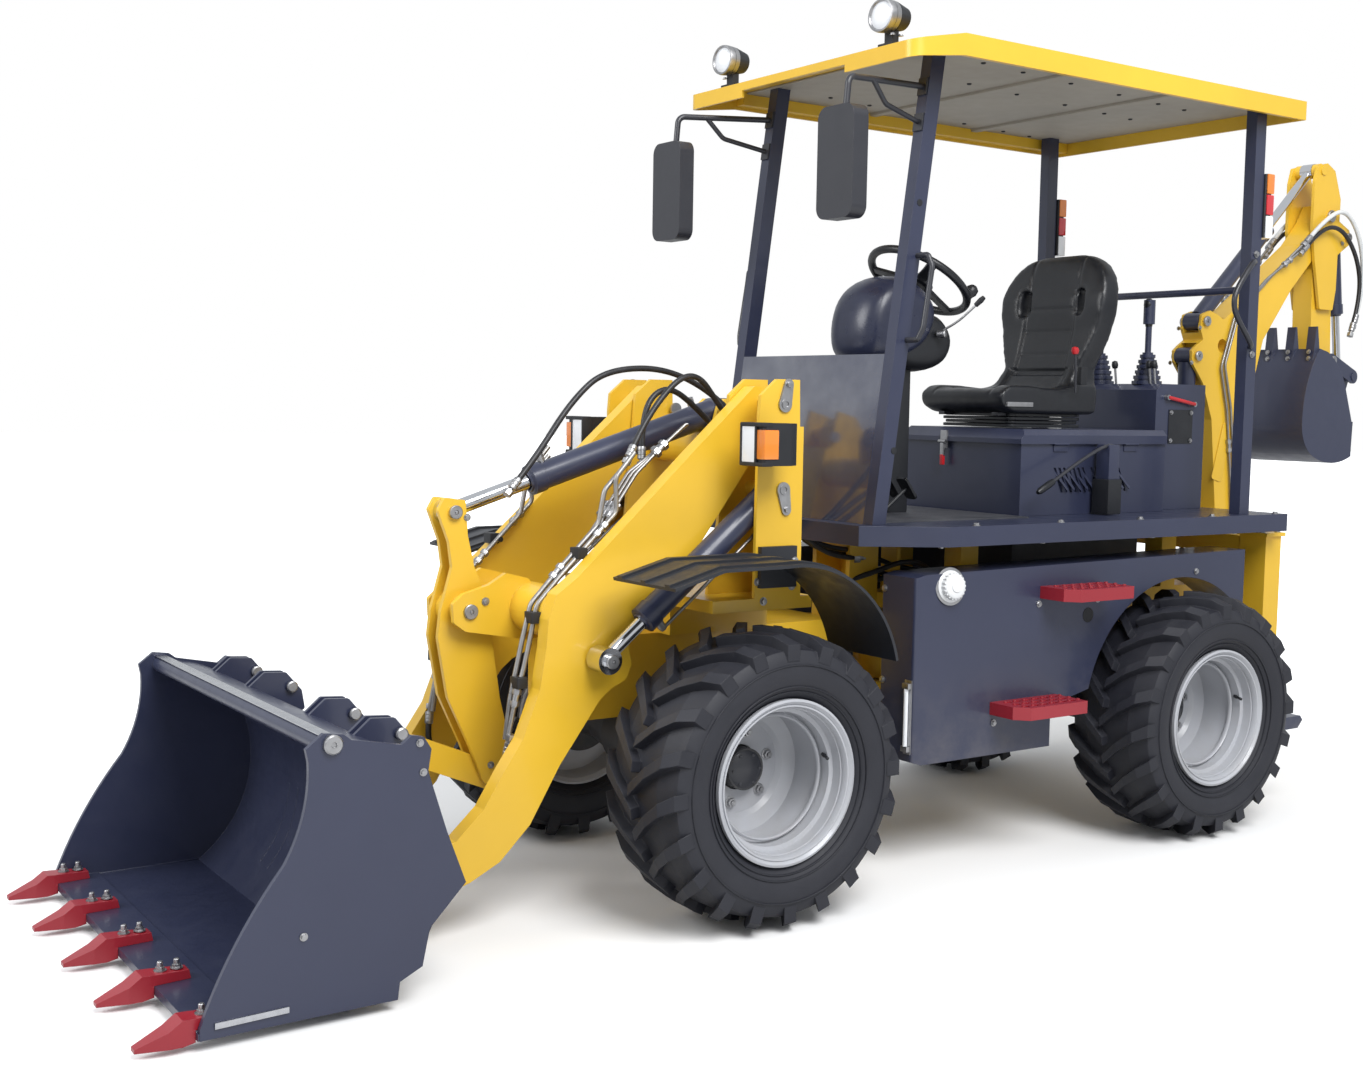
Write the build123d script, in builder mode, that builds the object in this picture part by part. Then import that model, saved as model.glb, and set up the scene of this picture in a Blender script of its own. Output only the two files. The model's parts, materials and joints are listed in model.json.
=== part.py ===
"""Compact articulated backhoe loader, parked: bucket on the ground, backhoe folded.

Millimetres.  +X towards the loader bucket, +Y the operator's left, +Z up.
All places are written in a machine frame whose X = 0 is the articulation pin,
halfway between the axles, and whose Z = 0 is the ground.  What the front frame
carries is measured from the front axle, and the rest from the rear axle.  The
plane helpers move that frame so that the row's origin is the bottom centre of
the whole machine.
"""
import os
from math import cos, hypot, radians, sin

from build123d import *

# ---------------------------------------------------------------- clearances
GAP = 0.3                    # seat clearance between touching pieces
PIN_GAP = 0.5                # radial clearance of a pin in its eye
SIDE_GAP = 1                 # clearance beside an eye that lies between two plates

# ---------------------------------------------------------------- wheels
TYRE_R = 470          # unloaded radius at the lugs' tips
TYRE_W = 394          # section width
CARCASS_R = 438       # tread surface between the lugs
LUGS = 20             # lugs on each half of the tread
LUG_W = 34            # lug width at the middle of the tread
WHEELBASE = 2068
TRACK = 1266          # between the tyre centres
RIM_R = 248           # rim flange radius
HUB_R = 135
FRONT_X = WHEELBASE / 2
REAR_X = -WHEELBASE / 2

# ---------------------------------------------------------------- hinge points (x, z)
ARM_PIN = (FRONT_X - 204, 1632)        # loader arm on the mast
LIFT_BASE = (FRONT_X - 204, 1353)      # lift cylinder on the mast
LIFT_EYE = (FRONT_X + 429, 832)       # lift rod on the arm
BUCKET_PIN = (FRONT_X + 1016, 200)     # bucket on the arm
CRANK_PIN = (FRONT_X + 731, 963)      # bellcrank on the arm's cross tube
CRANK_TOP = (FRONT_X + 762, 1275)     # tilt rod on the bellcrank
CRANK_LOW = (FRONT_X + 606, 405)      # link on the bellcrank
LINK_PIN = (FRONT_X + 1036, 585)       # link on the bucket
TILT_BASE = (FRONT_X - 269, 1608)      # tilt cylinder on the mast
ARM_TUBE = (FRONT_X + 511, 965)       # cross tube between the arms

SWING_X = REAR_X - 816              # vertical swing pin of the backhoe
BOOM_PIN = (REAR_X - 986, 700)      # boom on the swing post
BOOM_CYL_LOW = (REAR_X - 756, 900)  # boom rod on the swing post
BOOM_CYL_TOP = (REAR_X - 719, 1877) # boom cylinder on the boom
STICK_PIN = (REAR_X - 1601, 2550)    # stick on the boom
STICK_CYL = (REAR_X - 766, 2030)    # stick cylinder on the boom
STICK_TAIL = (REAR_X - 1536, 2755)   # stick rod on the stick's tail
DIG_PIN = (REAR_X - 1681, 1700)      # digging bucket on the stick
DIG_LINK_PIN = (REAR_X - 1742, 1592) # link on the digging bucket
ROCKER_PIN = (REAR_X - 1650, 1886)   # rocker on the stick
ROCKER_END = (REAR_X - 1828, 1813)   # rod and link on the rocker
DIG_CYL = (REAR_X - 1742, 2463)      # digging cylinder on the stick

# ---------------------------------------------------------------- reach
TOOTH_TIP_X = FRONT_X + 1941           # front of the machine
STRAP_R = 32                     # end radius of the digging linkage
DIG_REAR_X = ROCKER_END[0] - STRAP_R
X_MID = (TOOTH_TIP_X + DIG_REAR_X) / 2

# ---------------------------------------------------------------- loader
MAST_OUT = (462, 477)        # outer mast plate, y range
MAST_IN = (285, 300)         # inner mast plate, y range
ARM_Y = (305, 365)           # lift arm, y range
ARM_PIN_R = 28
LIFT_PIN_R = 25
LIFT_Y = 415                 # lift cylinder centre
LIFT_R = 43
LIFT_ROD_R = 22
LIFT_LEN = 640               # lift barrel, from its pin to the gland
LIFT_ROD_IN = 255            # inner end of the lift rod, from the barrel's pin
TILT_R = 46
TILT_ROD_R = 25
TILT_PIN_R = 22
TILT_LEN = 780               # tilt barrel, from its pin to the gland
CRANK_Y = (27, 45)           # one cheek of the bellcrank, y range
CRANK_BRACKET_Y = (78, 98)   # one bracket plate on the cross tube, y range
CRANK_PIN_R = 25
LINK_HALF = CRANK_Y[0] - SIDE_GAP    # half width of the link
LINK_EAR_Y = (42, 60)        # one link ear on the bucket, y range
BUCKET_HALF = 768
BUCKET_SIDE_T = 16
BUCKET_SHEET_T = 18
BUCKET_FLOOR_Z = 31          # underside of the bucket's floor
TOOTH_PITCH = 359
TOOTH_W = 64

# ---------------------------------------------------------------- rear frame
TANK_Y = (430, 600)
TANK_TOP = 1060
TANK_LOW = 400
ARCH_R = 520
CHASSIS_HALF = 230
CHASSIS_TOP = 900
PLATFORM_TOP = 1225
PLATFORM_T = 70
PLATFORM_HALF = 634
PLATFORM_REAR = REAR_X - 606
PLATFORM_FRONT = REAR_X + 1532
NECK_HALF = 160              # front chassis beside the articulation
SEAT_BOX_TOP = 1555
SEAT_BOX_X = (REAR_X - 201, REAR_X + 624)
SEAT_BOX_HALF = 330
CONSOLE_TOP = 1745
CONSOLE_X = (REAR_X - 526, REAR_X - 216)
DASH_TOP = 1812

# ---------------------------------------------------------------- canopy
ROOF_HALF = 660
ROOF_REAR = REAR_X - 566
ROOF_FOLD = REAR_X + 1281          # where the flat roof ends and the visor slopes down
ROOF_FRONT = REAR_X + 1504
ROOF_TOP = 2868
ROOF_T = 12
SKIRT = 73                   # depth of the side skirts under the top
VISOR_DROP = 47              # fall of the visor from the fold to its front edge
POST_Y = 440                 # front post, centre
REAR_POST_X = REAR_X - 396
REAR_POST_Y = 555
POST = (60, 50)              # section of every post, along x and along y
POST_FOOT_X = REAR_X + 1437        # front post's centre at the platform
POST_HEAD_X = REAR_X + 1219        # front post's centre under the roof
CROSS_BAR_Z = 2125           # bar between the rear posts

# ---------------------------------------------------------------- backhoe
BOOM_HALF = 55
CYL_SLOT_HALF = 42           # half width of the slots that the boom's cylinders lie in
STICK_HALF = 50
DIG_HALF = 200
DIG_TOOTH_PITCH = 110
STAB_X = (REAR_X - 691, REAR_X - 591)  # stabiliser tube, x range
STAB_Y = (418, 548)          # stabiliser tube, y range
STAB_WALL = 9
KING_R = 60                  # swing boss radius
KING_PIN_R = 28
KING_LUG_Z = (540, 715)      # underside of the lower and of the upper lug
KING_LUG_T = 60
HORN_Y = (42, 60)            # one horn of the swing post, y range
BOOM_PIN_R = 28
CYL_PIN_R = 22               # pins of the boom and stick cylinders
DIG_PIN_R = 20               # pins of the digging linkage
BOOM_BARREL = 620
STICK_BARREL = 640
DIG_BARREL = 355
ROD_R = 20                   # boom and stick rods
DIG_ROD_R = 18


# ---------------------------------------------------------------- planes and prisms
def front(*pts):
    """Points (x, z) or (x, y) whose x is given from the front axle."""
    return [(FRONT_X + x, v) for x, v in pts]


def rear(*pts):
    """Points (x, z) or (x, y) whose x is given from the rear axle."""
    return [(REAR_X + x, v) for x, v in pts]


def span(side, ys):
    """The range ys on one side of the machine, as (low, high)."""
    return tuple(sorted((side * ys[0], side * ys[1])))


def at_y(y):
    """Plane across the machine at y: local x is forward, local y is up."""
    return Plane(origin=(-X_MID, y, 0), x_dir=(1, 0, 0), z_dir=(0, -1, 0))


def at_z(z):
    """Level plane at height z: local x is forward, local y is to the left."""
    return Plane(origin=(-X_MID, 0, z), x_dir=(1, 0, 0), z_dir=(0, 0, 1))


def at_x(x):
    """Upright plane at x, facing forward: local x is to the left, local y is up."""
    return Plane(origin=(x - X_MID, 0, 0), x_dir=(0, 1, 0), z_dir=(1, 0, 0))


def point(x, y, z):
    return Vector(x - X_MID, y, z)


def prism(plane, pts, depth, r, mode):
    with BuildSketch(plane) as sk:
        with BuildLine():
            Polyline(*pts, close=True)
        make_face()
        if r:
            fillet(sk.vertices(), r)
    extrude(sk.sketch, amount=depth, mode=mode)


def slab(pts, ys, r=0, mode=Mode.ADD):
    """Plate or box with the side outline pts (x, z), between ys[0] and ys[1]."""
    prism(at_y(ys[1]), pts, ys[1] - ys[0], r, mode)


def deck(pts, zs, r=0, mode=Mode.ADD):
    """Plate or box with the plan outline pts (x, y), between zs[0] and zs[1]."""
    prism(at_z(zs[0]), pts, zs[1] - zs[0], r, mode)


def block(x, y, z, mode=Mode.ADD):
    """Box between the ranges x, y and z."""
    deck([(x[0], y[0]), (x[1], y[0]), (x[1], y[1]), (x[0], y[1])], z, mode=mode)


def cross_pin(p, r, ys, mode=Mode.ADD):
    """Cylinder along Y at p = (x, z), between ys[0] and ys[1]."""
    with BuildSketch(at_y(ys[1])) as sk:
        with Locations(p):
            Circle(r)
    extrude(sk.sketch, amount=ys[1] - ys[0], mode=mode)


def post_pin(x, y, r, zs, mode=Mode.ADD):
    """Upright cylinder at (x, y), between zs[0] and zs[1]."""
    with BuildSketch(at_z(zs[0])) as sk:
        with Locations((x, y)):
            Circle(r)
    extrude(sk.sketch, amount=zs[1] - zs[0], mode=mode)


def strap(p, q, r, ys):
    """Flat link with rounded ends of radius r round p and q, each (x, z)."""
    with BuildSketch(at_y(ys[1])) as sk:
        with Locations(p, q):
            Circle(r)
        make_hull()
    extrude(sk.sketch, amount=ys[1] - ys[0])


def ribbon(curve, low, high, ys):
    """Bent sheet between ys[0] and ys[1]: its side section lies left of curve, from low to high."""
    edges = []
    for away in (low, high):
        if away:
            edges.append(offset(curve, amount=away, side=Side.LEFT, closed=False, mode=Mode.PRIVATE))
        else:
            edges.append(curve)
    inner, outer = edges
    same = (outer @ 0 - inner @ 0).length < (outer @ 1 - inner @ 0).length
    with BuildSketch(at_y(ys[1])) as sk:
        with BuildLine():
            add(inner)
            add(outer)
            Line(inner @ 0, outer @ (0 if same else 1))
            Line(inner @ 1, outer @ (1 if same else 0))
        make_face()
    extrude(sk.sketch, amount=ys[1] - ys[0])


def rod(a, b, r, mode=Mode.ADD):
    """Round bar of radius r from point a to point b, each (x, y, z)."""
    start = point(*a)
    along = point(*b) - start
    with BuildSketch(Plane(origin=start, z_dir=along)) as sk:
        Circle(r)
    extrude(sk.sketch, amount=along.length, mode=mode)


def bent_tube(pts, bend, r):
    """Round tube through pts, each (x, y, z), with its corners bent to a radius."""
    places = [point(*p) for p in pts]
    with BuildLine() as path:
        FilletPolyline(*places, radius=bend)
    with BuildSketch(Plane(origin=places[0], z_dir=places[1] - places[0])) as sk:
        Circle(r)
    sweep(sk.sketch, path=path.line)


def toward(a, b, s):
    """The (x, z) point s millimetres from a towards b."""
    d = hypot(b[0] - a[0], b[1] - a[1])
    return (a[0] + (b[0] - a[0]) * s / d, a[1] + (b[1] - a[1]) * s / d)


def barrel(base, eye, y, r, length, eye_r, eye_half, pin_r):
    """Cylinder barrel with an eye at base, lying towards eye, and a gland collar at its end."""
    b0 = toward(base, eye, eye_r * 0.7)
    b1 = toward(base, eye, length)
    collar = toward(base, eye, length - 45)
    rod((b0[0], y, b0[1]), (b1[0], y, b1[1]), r)
    rod((collar[0], y, collar[1]), (b1[0], y, b1[1]), r + 4)
    cross_pin(base, eye_r, (y - eye_half, y + eye_half))
    cross_pin(base, pin_r + PIN_GAP, (y - eye_half - r, y + eye_half + r), mode=Mode.SUBTRACT)


def barrel_bore(base, eye, y, rod_r, depth, length):
    """Round bore of the rod in its barrel, from the gland down to depth."""
    b0 = toward(base, eye, depth)
    b1 = toward(base, eye, length + 5)
    rod((b0[0], y, b0[1]), (b1[0], y, b1[1]), rod_r + PIN_GAP, mode=Mode.SUBTRACT)


def piston_rod(base, eye, y, rod_r, start, eye_r, eye_half):
    """Rod from start (distance from base) out to its own solid eye, which holds its pin."""
    d = hypot(eye[0] - base[0], eye[1] - base[1])
    r0 = toward(base, eye, start)
    r1 = toward(base, eye, d - eye_r * 0.7)
    rod((r0[0], y, r0[1]), (r1[0], y, r1[1]), rod_r)
    cross_pin(eye, eye_r, (y - eye_half, y + eye_half))


os.makedirs("parts", exist_ok=True)
done = []


def save(piece, name):
    piece.label = name
    export_step(piece, f"parts/{name}.step")
    done.append(name)


# ================================================================ wheels
HALF = TYRE_W / 2
# lug station: offset from the middle, angle ahead, top radius, root radius, width
LUG_STATIONS = [
    (-6, 0, TYRE_R, CARCASS_R - 14, LUG_W),
    (70, 8, TYRE_R - 2, CARCASS_R - 16, LUG_W + 2),
    (142, 14, TYRE_R - 9, CARCASS_R - 26, LUG_W + 7),
    (HALF - 3, 17.5, TYRE_R - 36, CARCASS_R - 56, LUG_W + 13),
]


def tread_lug(half):
    """One lug of the half of the tread on the side half (1 or -1), its foot at the bottom."""
    with BuildPart() as lug:
        for offset, ahead, top, root, width in LUG_STATIONS:
            turn = radians(ahead - 90)
            mid = (top + root) / 2
            place = Plane(
                origin=(mid * cos(turn), half * offset, mid * sin(turn)),
                x_dir=(cos(turn), 0, sin(turn)),
                z_dir=(0, 1, 0),
            )
            with BuildSketch(place):
                Rectangle(top - root, width)
        loft(ruled=True)
    return lug.part


# bead, sidewall bulge and shoulder of the tyre: offset from the middle, radius
BEAD_FOOT = (150, RIM_R + GAP)
BEAD_TOP = (157, RIM_R + 16)
BULGE = (HALF, 342)
SHOULDER = (178, CARCASS_R - 24)
with BuildPart() as tyre:
    with BuildSketch(Plane.YZ):
        with BuildLine():
            for s in (-1, 1):
                Line((0, RIM_R + GAP), (s * BEAD_FOOT[0], BEAD_FOOT[1]))
                Line((s * BEAD_FOOT[0], BEAD_FOOT[1]), (s * BEAD_TOP[0], BEAD_TOP[1]))
                ThreePointArc((s * BEAD_TOP[0], BEAD_TOP[1]), (s * BULGE[0], BULGE[1]),
                              (s * SHOULDER[0], SHOULDER[1]))
                Line((s * SHOULDER[0], SHOULDER[1]), (s * 100, CARCASS_R - 4))
                Line((s * 100, CARCASS_R - 4), (0, CARCASS_R))
        make_face()
    revolve(axis=Axis.Y)
    pitch = 360 / LUGS
    left_lug = tread_lug(1)
    right_lug = tread_lug(-1)
    add([left_lug.rotate(Axis.Y, k * pitch) for k in range(LUGS)])
    add([right_lug.rotate(Axis.Y, (k + 0.5) * pitch) for k in range(LUGS)])

# rim section: offset outboard from the tyre's middle, radius; the disc stands deep inboard
DISC_OFFSET = -110
RIM_SECTION = [
    (-175, RIM_R + 14), (-160, RIM_R + 14), (-157, RIM_R), (157, RIM_R), (160, RIM_R + 14),
    (175, RIM_R + 14), (178, RIM_R + 6), (166, RIM_R - 6), (150, RIM_R - 10), (147, RIM_R - 20),
    (112, RIM_R - 22), (108, RIM_R - 36), (-62, RIM_R - 40), (-78, 165), (-92, 150),
    (-92, HUB_R - 62), (DISC_OFFSET, HUB_R - 62), (DISC_OFFSET, 160), (-104, RIM_R - 26),
    (-166, RIM_R - 8), (-178, RIM_R + 6),
]
with BuildPart() as rim:
    with BuildSketch(Plane.YZ):
        with BuildLine():
            Polyline(*RIM_SECTION, close=True)
        make_face()
    revolve(axis=Axis.Y)

# name, axle x, side
WHEELS = [
    ("front_left", FRONT_X, 1),
    ("front_right", FRONT_X, -1),
    ("rear_left", REAR_X, 1),
    ("rear_right", REAR_X, -1),
]
for name, x, side in WHEELS:
    place = Location(point(x, side * TRACK / 2, TYRE_R))
    turned = Location((0, 0, 0), (0, 0, 90 * (1 - side)))
    save(tyre.part.moved(place), f"tyre_{name}")
    save(rim.part.moved(place * turned), f"rim_{name}")

# ================================================================ axles
DISC_IN = TRACK / 2 + DISC_OFFSET      # inboard face of the wheel disc
DIFF_R = 118                           # differential housing
for name, x in [("front_axle", FRONT_X), ("rear_axle", REAR_X)]:
    with BuildPart() as axle_part:
        rod((x, -DISC_IN + GAP, TYRE_R), (x, DISC_IN - GAP, TYRE_R), 62)
        for side in (-1, 1):
            rod((x, side * (DISC_IN - 70), TYRE_R), (x, side * (DISC_IN - GAP), TYRE_R), HUB_R)
            rod((x, side * (DISC_IN - 30), TYRE_R), (x, side * (DISC_IN + 60), TYRE_R), HUB_R - 67)
            # tapered trumpet between the hub and the differential housing
            with BuildSketch(at_y(side * 120)) as inner:
                with Locations((x, TYRE_R)):
                    Circle(105)
            with BuildSketch(at_y(side * 300)) as outer:
                with Locations((x, TYRE_R)):
                    Circle(66)
            loft([inner.sketch, outer.sketch])
        rod((x, -122, TYRE_R), (x, 122, TYRE_R), DIFF_R)
    save(axle_part.part, name)

# ================================================================ front frame
AXLE_PAD = TYRE_R + DIFF_R + GAP     # underside of both frames over the axles
PIN_PLATE_Z = (560, 800)     # undersides of the lower and of the upper articulation plate
PIN_PLATE_T = 40
STEER_PIN_R = 35
TOWER_X = (98, 234)          # hose tower over the articulation
MAST_OUTER = front(
    (-286, 1000), (-98, 1000), (-100, 1240), (-104, 1600), (-109, 1660), (-172, 1713), (-266, 1713)
)
MAST_INNER = front(
    (-286, 1000), (-34, 1000), (-74, 1240), (-104, 1600), (-109, 1660), (-172, 1713), (-266, 1713)
)
with BuildPart() as front_chassis:
    # main box over the axle, and the neck to the articulation
    block((330, FRONT_X + 386), (-NECK_HALF, NECK_HALF), (AXLE_PAD, 860))
    for z in PIN_PLATE_Z:
        deck([(0, -95), (340, -NECK_HALF), (340, NECK_HALF), (0, 95)], (z, z + PIN_PLATE_T))
        post_pin(0, 0, 95, (z, z + PIN_PLATE_T))
    bore_z = (PIN_PLATE_Z[0], PIN_PLATE_Z[1] + PIN_PLATE_T)
    post_pin(0, 0, STEER_PIN_R + PIN_GAP, bore_z, mode=Mode.SUBTRACT)
    # box tower for the hoses, with a hooped guard behind it
    block(TOWER_X, (-110, 110), (PIN_PLATE_Z[1] + PIN_PLATE_T, 1140))
    block((TOWER_X[0] + 14, TOWER_X[1] + 5), (-88, 88), (870, 1112), mode=Mode.SUBTRACT)
    for s in (-1, 1):
        slab([(-12, 1020), (110, 1020), (110, 1136), (-12, 1136)], span(s, (98, 110)))
        slab([(2, 1034), (97, 1034), (97, 1122), (2, 1122)], span(s, (90, 118)), mode=Mode.SUBTRACT)
    # deck that carries the mast
    block((FRONT_X - 334, FRONT_X + 66), (-MAST_OUT[1], MAST_OUT[1]), (960, 1000))
    block((FRONT_X - 334, FRONT_X + 66), (-230, 230), (860, 960))
    for s in (-1, 1):
        slab(MAST_OUTER, span(s, MAST_OUT))
        slab(MAST_INNER, span(s, MAST_IN))
        # rear web between the two plates
        block((FRONT_X - 286, FRONT_X - 264), span(s, (MAST_IN[0], MAST_OUT[1])), (1000, 1560))
        # pins of the arm and of the lift cylinder
        between = span(s, (MAST_IN[1] - 1, MAST_OUT[0] + 1))
        cross_pin(ARM_PIN, ARM_PIN_R, between)
        cross_pin(LIFT_BASE, LIFT_PIN_R, between)
    # cross tube and the ears of the tilt cylinder
    cross_pin((TILT_BASE[0] + 45, TILT_BASE[1] - 130), 58, (-MAST_IN[0], MAST_IN[0]))
    for s in (-1, 1):
        slab([(TILT_BASE[0] - 38, TILT_BASE[1] - 20), (TILT_BASE[0] + 5, TILT_BASE[1] - 150),
              (TILT_BASE[0] + 85, TILT_BASE[1] - 130), (TILT_BASE[0] + 42, TILT_BASE[1] + 15),
              (TILT_BASE[0] + 15, TILT_BASE[1] + 40), (TILT_BASE[0] - 20, TILT_BASE[1] + 35)],
             span(s, (TILT_R + 6, TILT_R + 24)), r=8)
    cross_pin(TILT_BASE, TILT_PIN_R, (-TILT_R - 10, TILT_R + 10))
save(front_chassis.part, "front_chassis")

# mudguards over the front wheels: a bent sheet with three pressed ribs
FENDER_Y = (485, 830)
FENDER_T = 10
FENDER_RIB = (26, 8)         # width and height of a rib
FENDER_TAIL = (FRONT_X - 406, 822)
FENDER_RISE = (FRONT_X - 264, 1050)
FENDER_CROWN = (FRONT_X + 29, 1138)
FENDER_NOSE = (FRONT_X + 266, 1136)
FENDER_LIP = (FRONT_X + 441, 1088)


with BuildLine() as fender_curve:
    ThreePointArc(FENDER_TAIL, FENDER_RISE, FENDER_CROWN)
    Line(FENDER_CROWN, FENDER_NOSE)
    Line(FENDER_NOSE, FENDER_LIP)
with BuildPart() as fenders:
    for s in (-1, 1):
        ribbon(fender_curve.line, 0, FENDER_T, span(s, FENDER_Y))
        for y in (525, 657, 789):
            rib_y = (y - FENDER_RIB[0] / 2, y + FENDER_RIB[0] / 2)
            ribbon(fender_curve.line, FENDER_T / 2, FENDER_T + FENDER_RIB[1], span(s, rib_y))
        # bracket down to the mast plate
        block((FRONT_X - 254, FRONT_X - 109), span(s, (MAST_OUT[1] + GAP, 497)), (1035, 1170))
save(fenders.part, "fenders")

LAMP_X = (FRONT_X - 172, FRONT_X - 22)
with BuildPart() as head_lamps:
    for s in (-1, 1):
        # housing with a rounded back, and the stalk to the mast
        deck([(LAMP_X[0] + 20, s * 500), (LAMP_X[1], s * 500), (LAMP_X[1], s * 622), (LAMP_X[0] + 45, s * 622),
              (LAMP_X[0], s * 590), (LAMP_X[0], s * 520)], (1438, 1572), r=12)
        block((FRONT_X - 184, FRONT_X - 144), span(s, (MAST_OUT[1] + GAP, 505)), (1488, 1528))
save(head_lamps.part, "head_lamps")

# ================================================================ loader arms
# side outline of one arm: upper straight run, knee, lower run to the bucket pin, ear of the lift rod
ARM_OUTLINE = front(
    (-244, 1690), (-164, 1690), (88, 1464), (275, 1291), (490, 1095), (570, 1037), (598, 960),
    (606, 869), (626, 747), (684, 598), (747, 506), (814, 398), (906, 313), (1026, 268),
    (1078, 240), (1084, 180), (1026, 134), (859, 180), (759, 229), (657, 330), (554, 505),
    (413, 696), (371, 730), (318, 752), (296, 800), (311, 860), (250, 939), (81, 1124),
    (-112, 1381), (-262, 1590), (-269, 1650)
)
with BuildPart() as loader_arms:
    for s in (-1, 1):
        slab(ARM_OUTLINE, span(s, ARM_Y), r=12)
        cross_pin(ARM_PIN, ARM_PIN_R + PIN_GAP, span(s, (ARM_Y[0] - 1, ARM_Y[1] + 1)), mode=Mode.SUBTRACT)
        ys = span(s, (ARM_Y[0] - 1, ARM_Y[1] + 1))
        cross_pin(BUCKET_PIN, LIFT_PIN_R + PIN_GAP, ys, mode=Mode.SUBTRACT)
    # cross tube with the two bellcrank brackets
    cross_pin(ARM_TUBE, 82, (-ARM_Y[0] - 1, ARM_Y[0] + 1))
    for s in (-1, 1):
        slab(front((666, 1045), (606, 1080), (526, 1060), (446, 960), (466, 870), (526, 860),
                     (746, 900), (788, 930), (791, 990), (756, 1020)), span(s, CRANK_BRACKET_Y), r=10)
    cross_pin(CRANK_PIN, CRANK_PIN_R, (-CRANK_BRACKET_Y[1], CRANK_BRACKET_Y[1]))
save(loader_arms.part, "loader_arms")

CRANK_OUTLINE = front(
    (723, 1312), (795, 1320), (818, 1280), (780, 1180), (769, 1100), (808, 960), (817, 878),
    (782, 684), (703, 515), (656, 400), (606, 355), (558, 385), (561, 517), (598, 667),
    (628, 864), (648, 1000), (692, 1100), (715, 1200)
)
with BuildPart() as bellcrank:
    for s in (-1, 1):
        slab(CRANK_OUTLINE, span(s, CRANK_Y), r=10)
    # spacer boss round the pivot
    boss_half = CRANK_BRACKET_Y[0] - SIDE_GAP
    cross_pin(CRANK_PIN, 62, (-CRANK_Y[1], CRANK_Y[1]))
    cross_pin(CRANK_PIN, 48, (-boss_half, boss_half))
    cross_pin(CRANK_PIN, CRANK_PIN_R + PIN_GAP, (-boss_half - 1, boss_half + 1), mode=Mode.SUBTRACT)
    # pin heads outside the cheeks, above and below
    for s in (-1, 1):
        for p in (CRANK_TOP, CRANK_LOW):
            cross_pin(p, TILT_PIN_R, span(s, (CRANK_Y[1] - 1, CRANK_Y[1] + 6)))
save(bellcrank.part, "bellcrank")

with BuildPart() as tilt_link:
    # its crank end lies between the cheeks and its bucket end between the ears
    strap(CRANK_LOW, LINK_PIN, 45, (-LINK_HALF, LINK_HALF))
    boss_half = LINK_EAR_Y[0] - SIDE_GAP
    cross_pin(LINK_PIN, 45, (-boss_half, boss_half))
    cross_pin(LINK_PIN, TILT_PIN_R + PIN_GAP, (-boss_half - 1, boss_half + 1), mode=Mode.SUBTRACT)
save(tilt_link.part, "tilt_link")

# ================================================================ loader cylinders
with BuildPart() as lift_barrels:
    for s in (-1, 1):
        barrel(LIFT_BASE, LIFT_EYE, s * LIFT_Y, LIFT_R, LIFT_LEN, 40, 42, LIFT_PIN_R)
        barrel_bore(LIFT_BASE, LIFT_EYE, s * LIFT_Y, LIFT_ROD_R, 80, LIFT_LEN)
save(lift_barrels.part, "lift_barrels")

with BuildPart() as lift_rods:
    for s in (-1, 1):
        piston_rod(LIFT_BASE, LIFT_EYE, s * LIFT_Y, LIFT_ROD_R, LIFT_ROD_IN, 42, 38)
        # pin from the arm's face to its keeper outside the eye
        cross_pin(LIFT_EYE, 22, span(s, (ARM_Y[1] + GAP, LIFT_Y + 46)))
save(lift_rods.part, "lift_rods")

with BuildPart() as tilt_barrel:
    barrel(TILT_BASE, CRANK_TOP, 0, TILT_R, TILT_LEN, 42, TILT_R - 1, TILT_PIN_R)
    barrel_bore(TILT_BASE, CRANK_TOP, 0, TILT_ROD_R, 80, TILT_LEN)
save(tilt_barrel.part, "tilt_barrel")

with BuildPart() as tilt_rod:
    piston_rod(TILT_BASE, CRANK_TOP, 0, TILT_ROD_R, 420, 40, CRANK_Y[0] - GAP)
save(tilt_rod.part, "tilt_rod")

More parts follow.
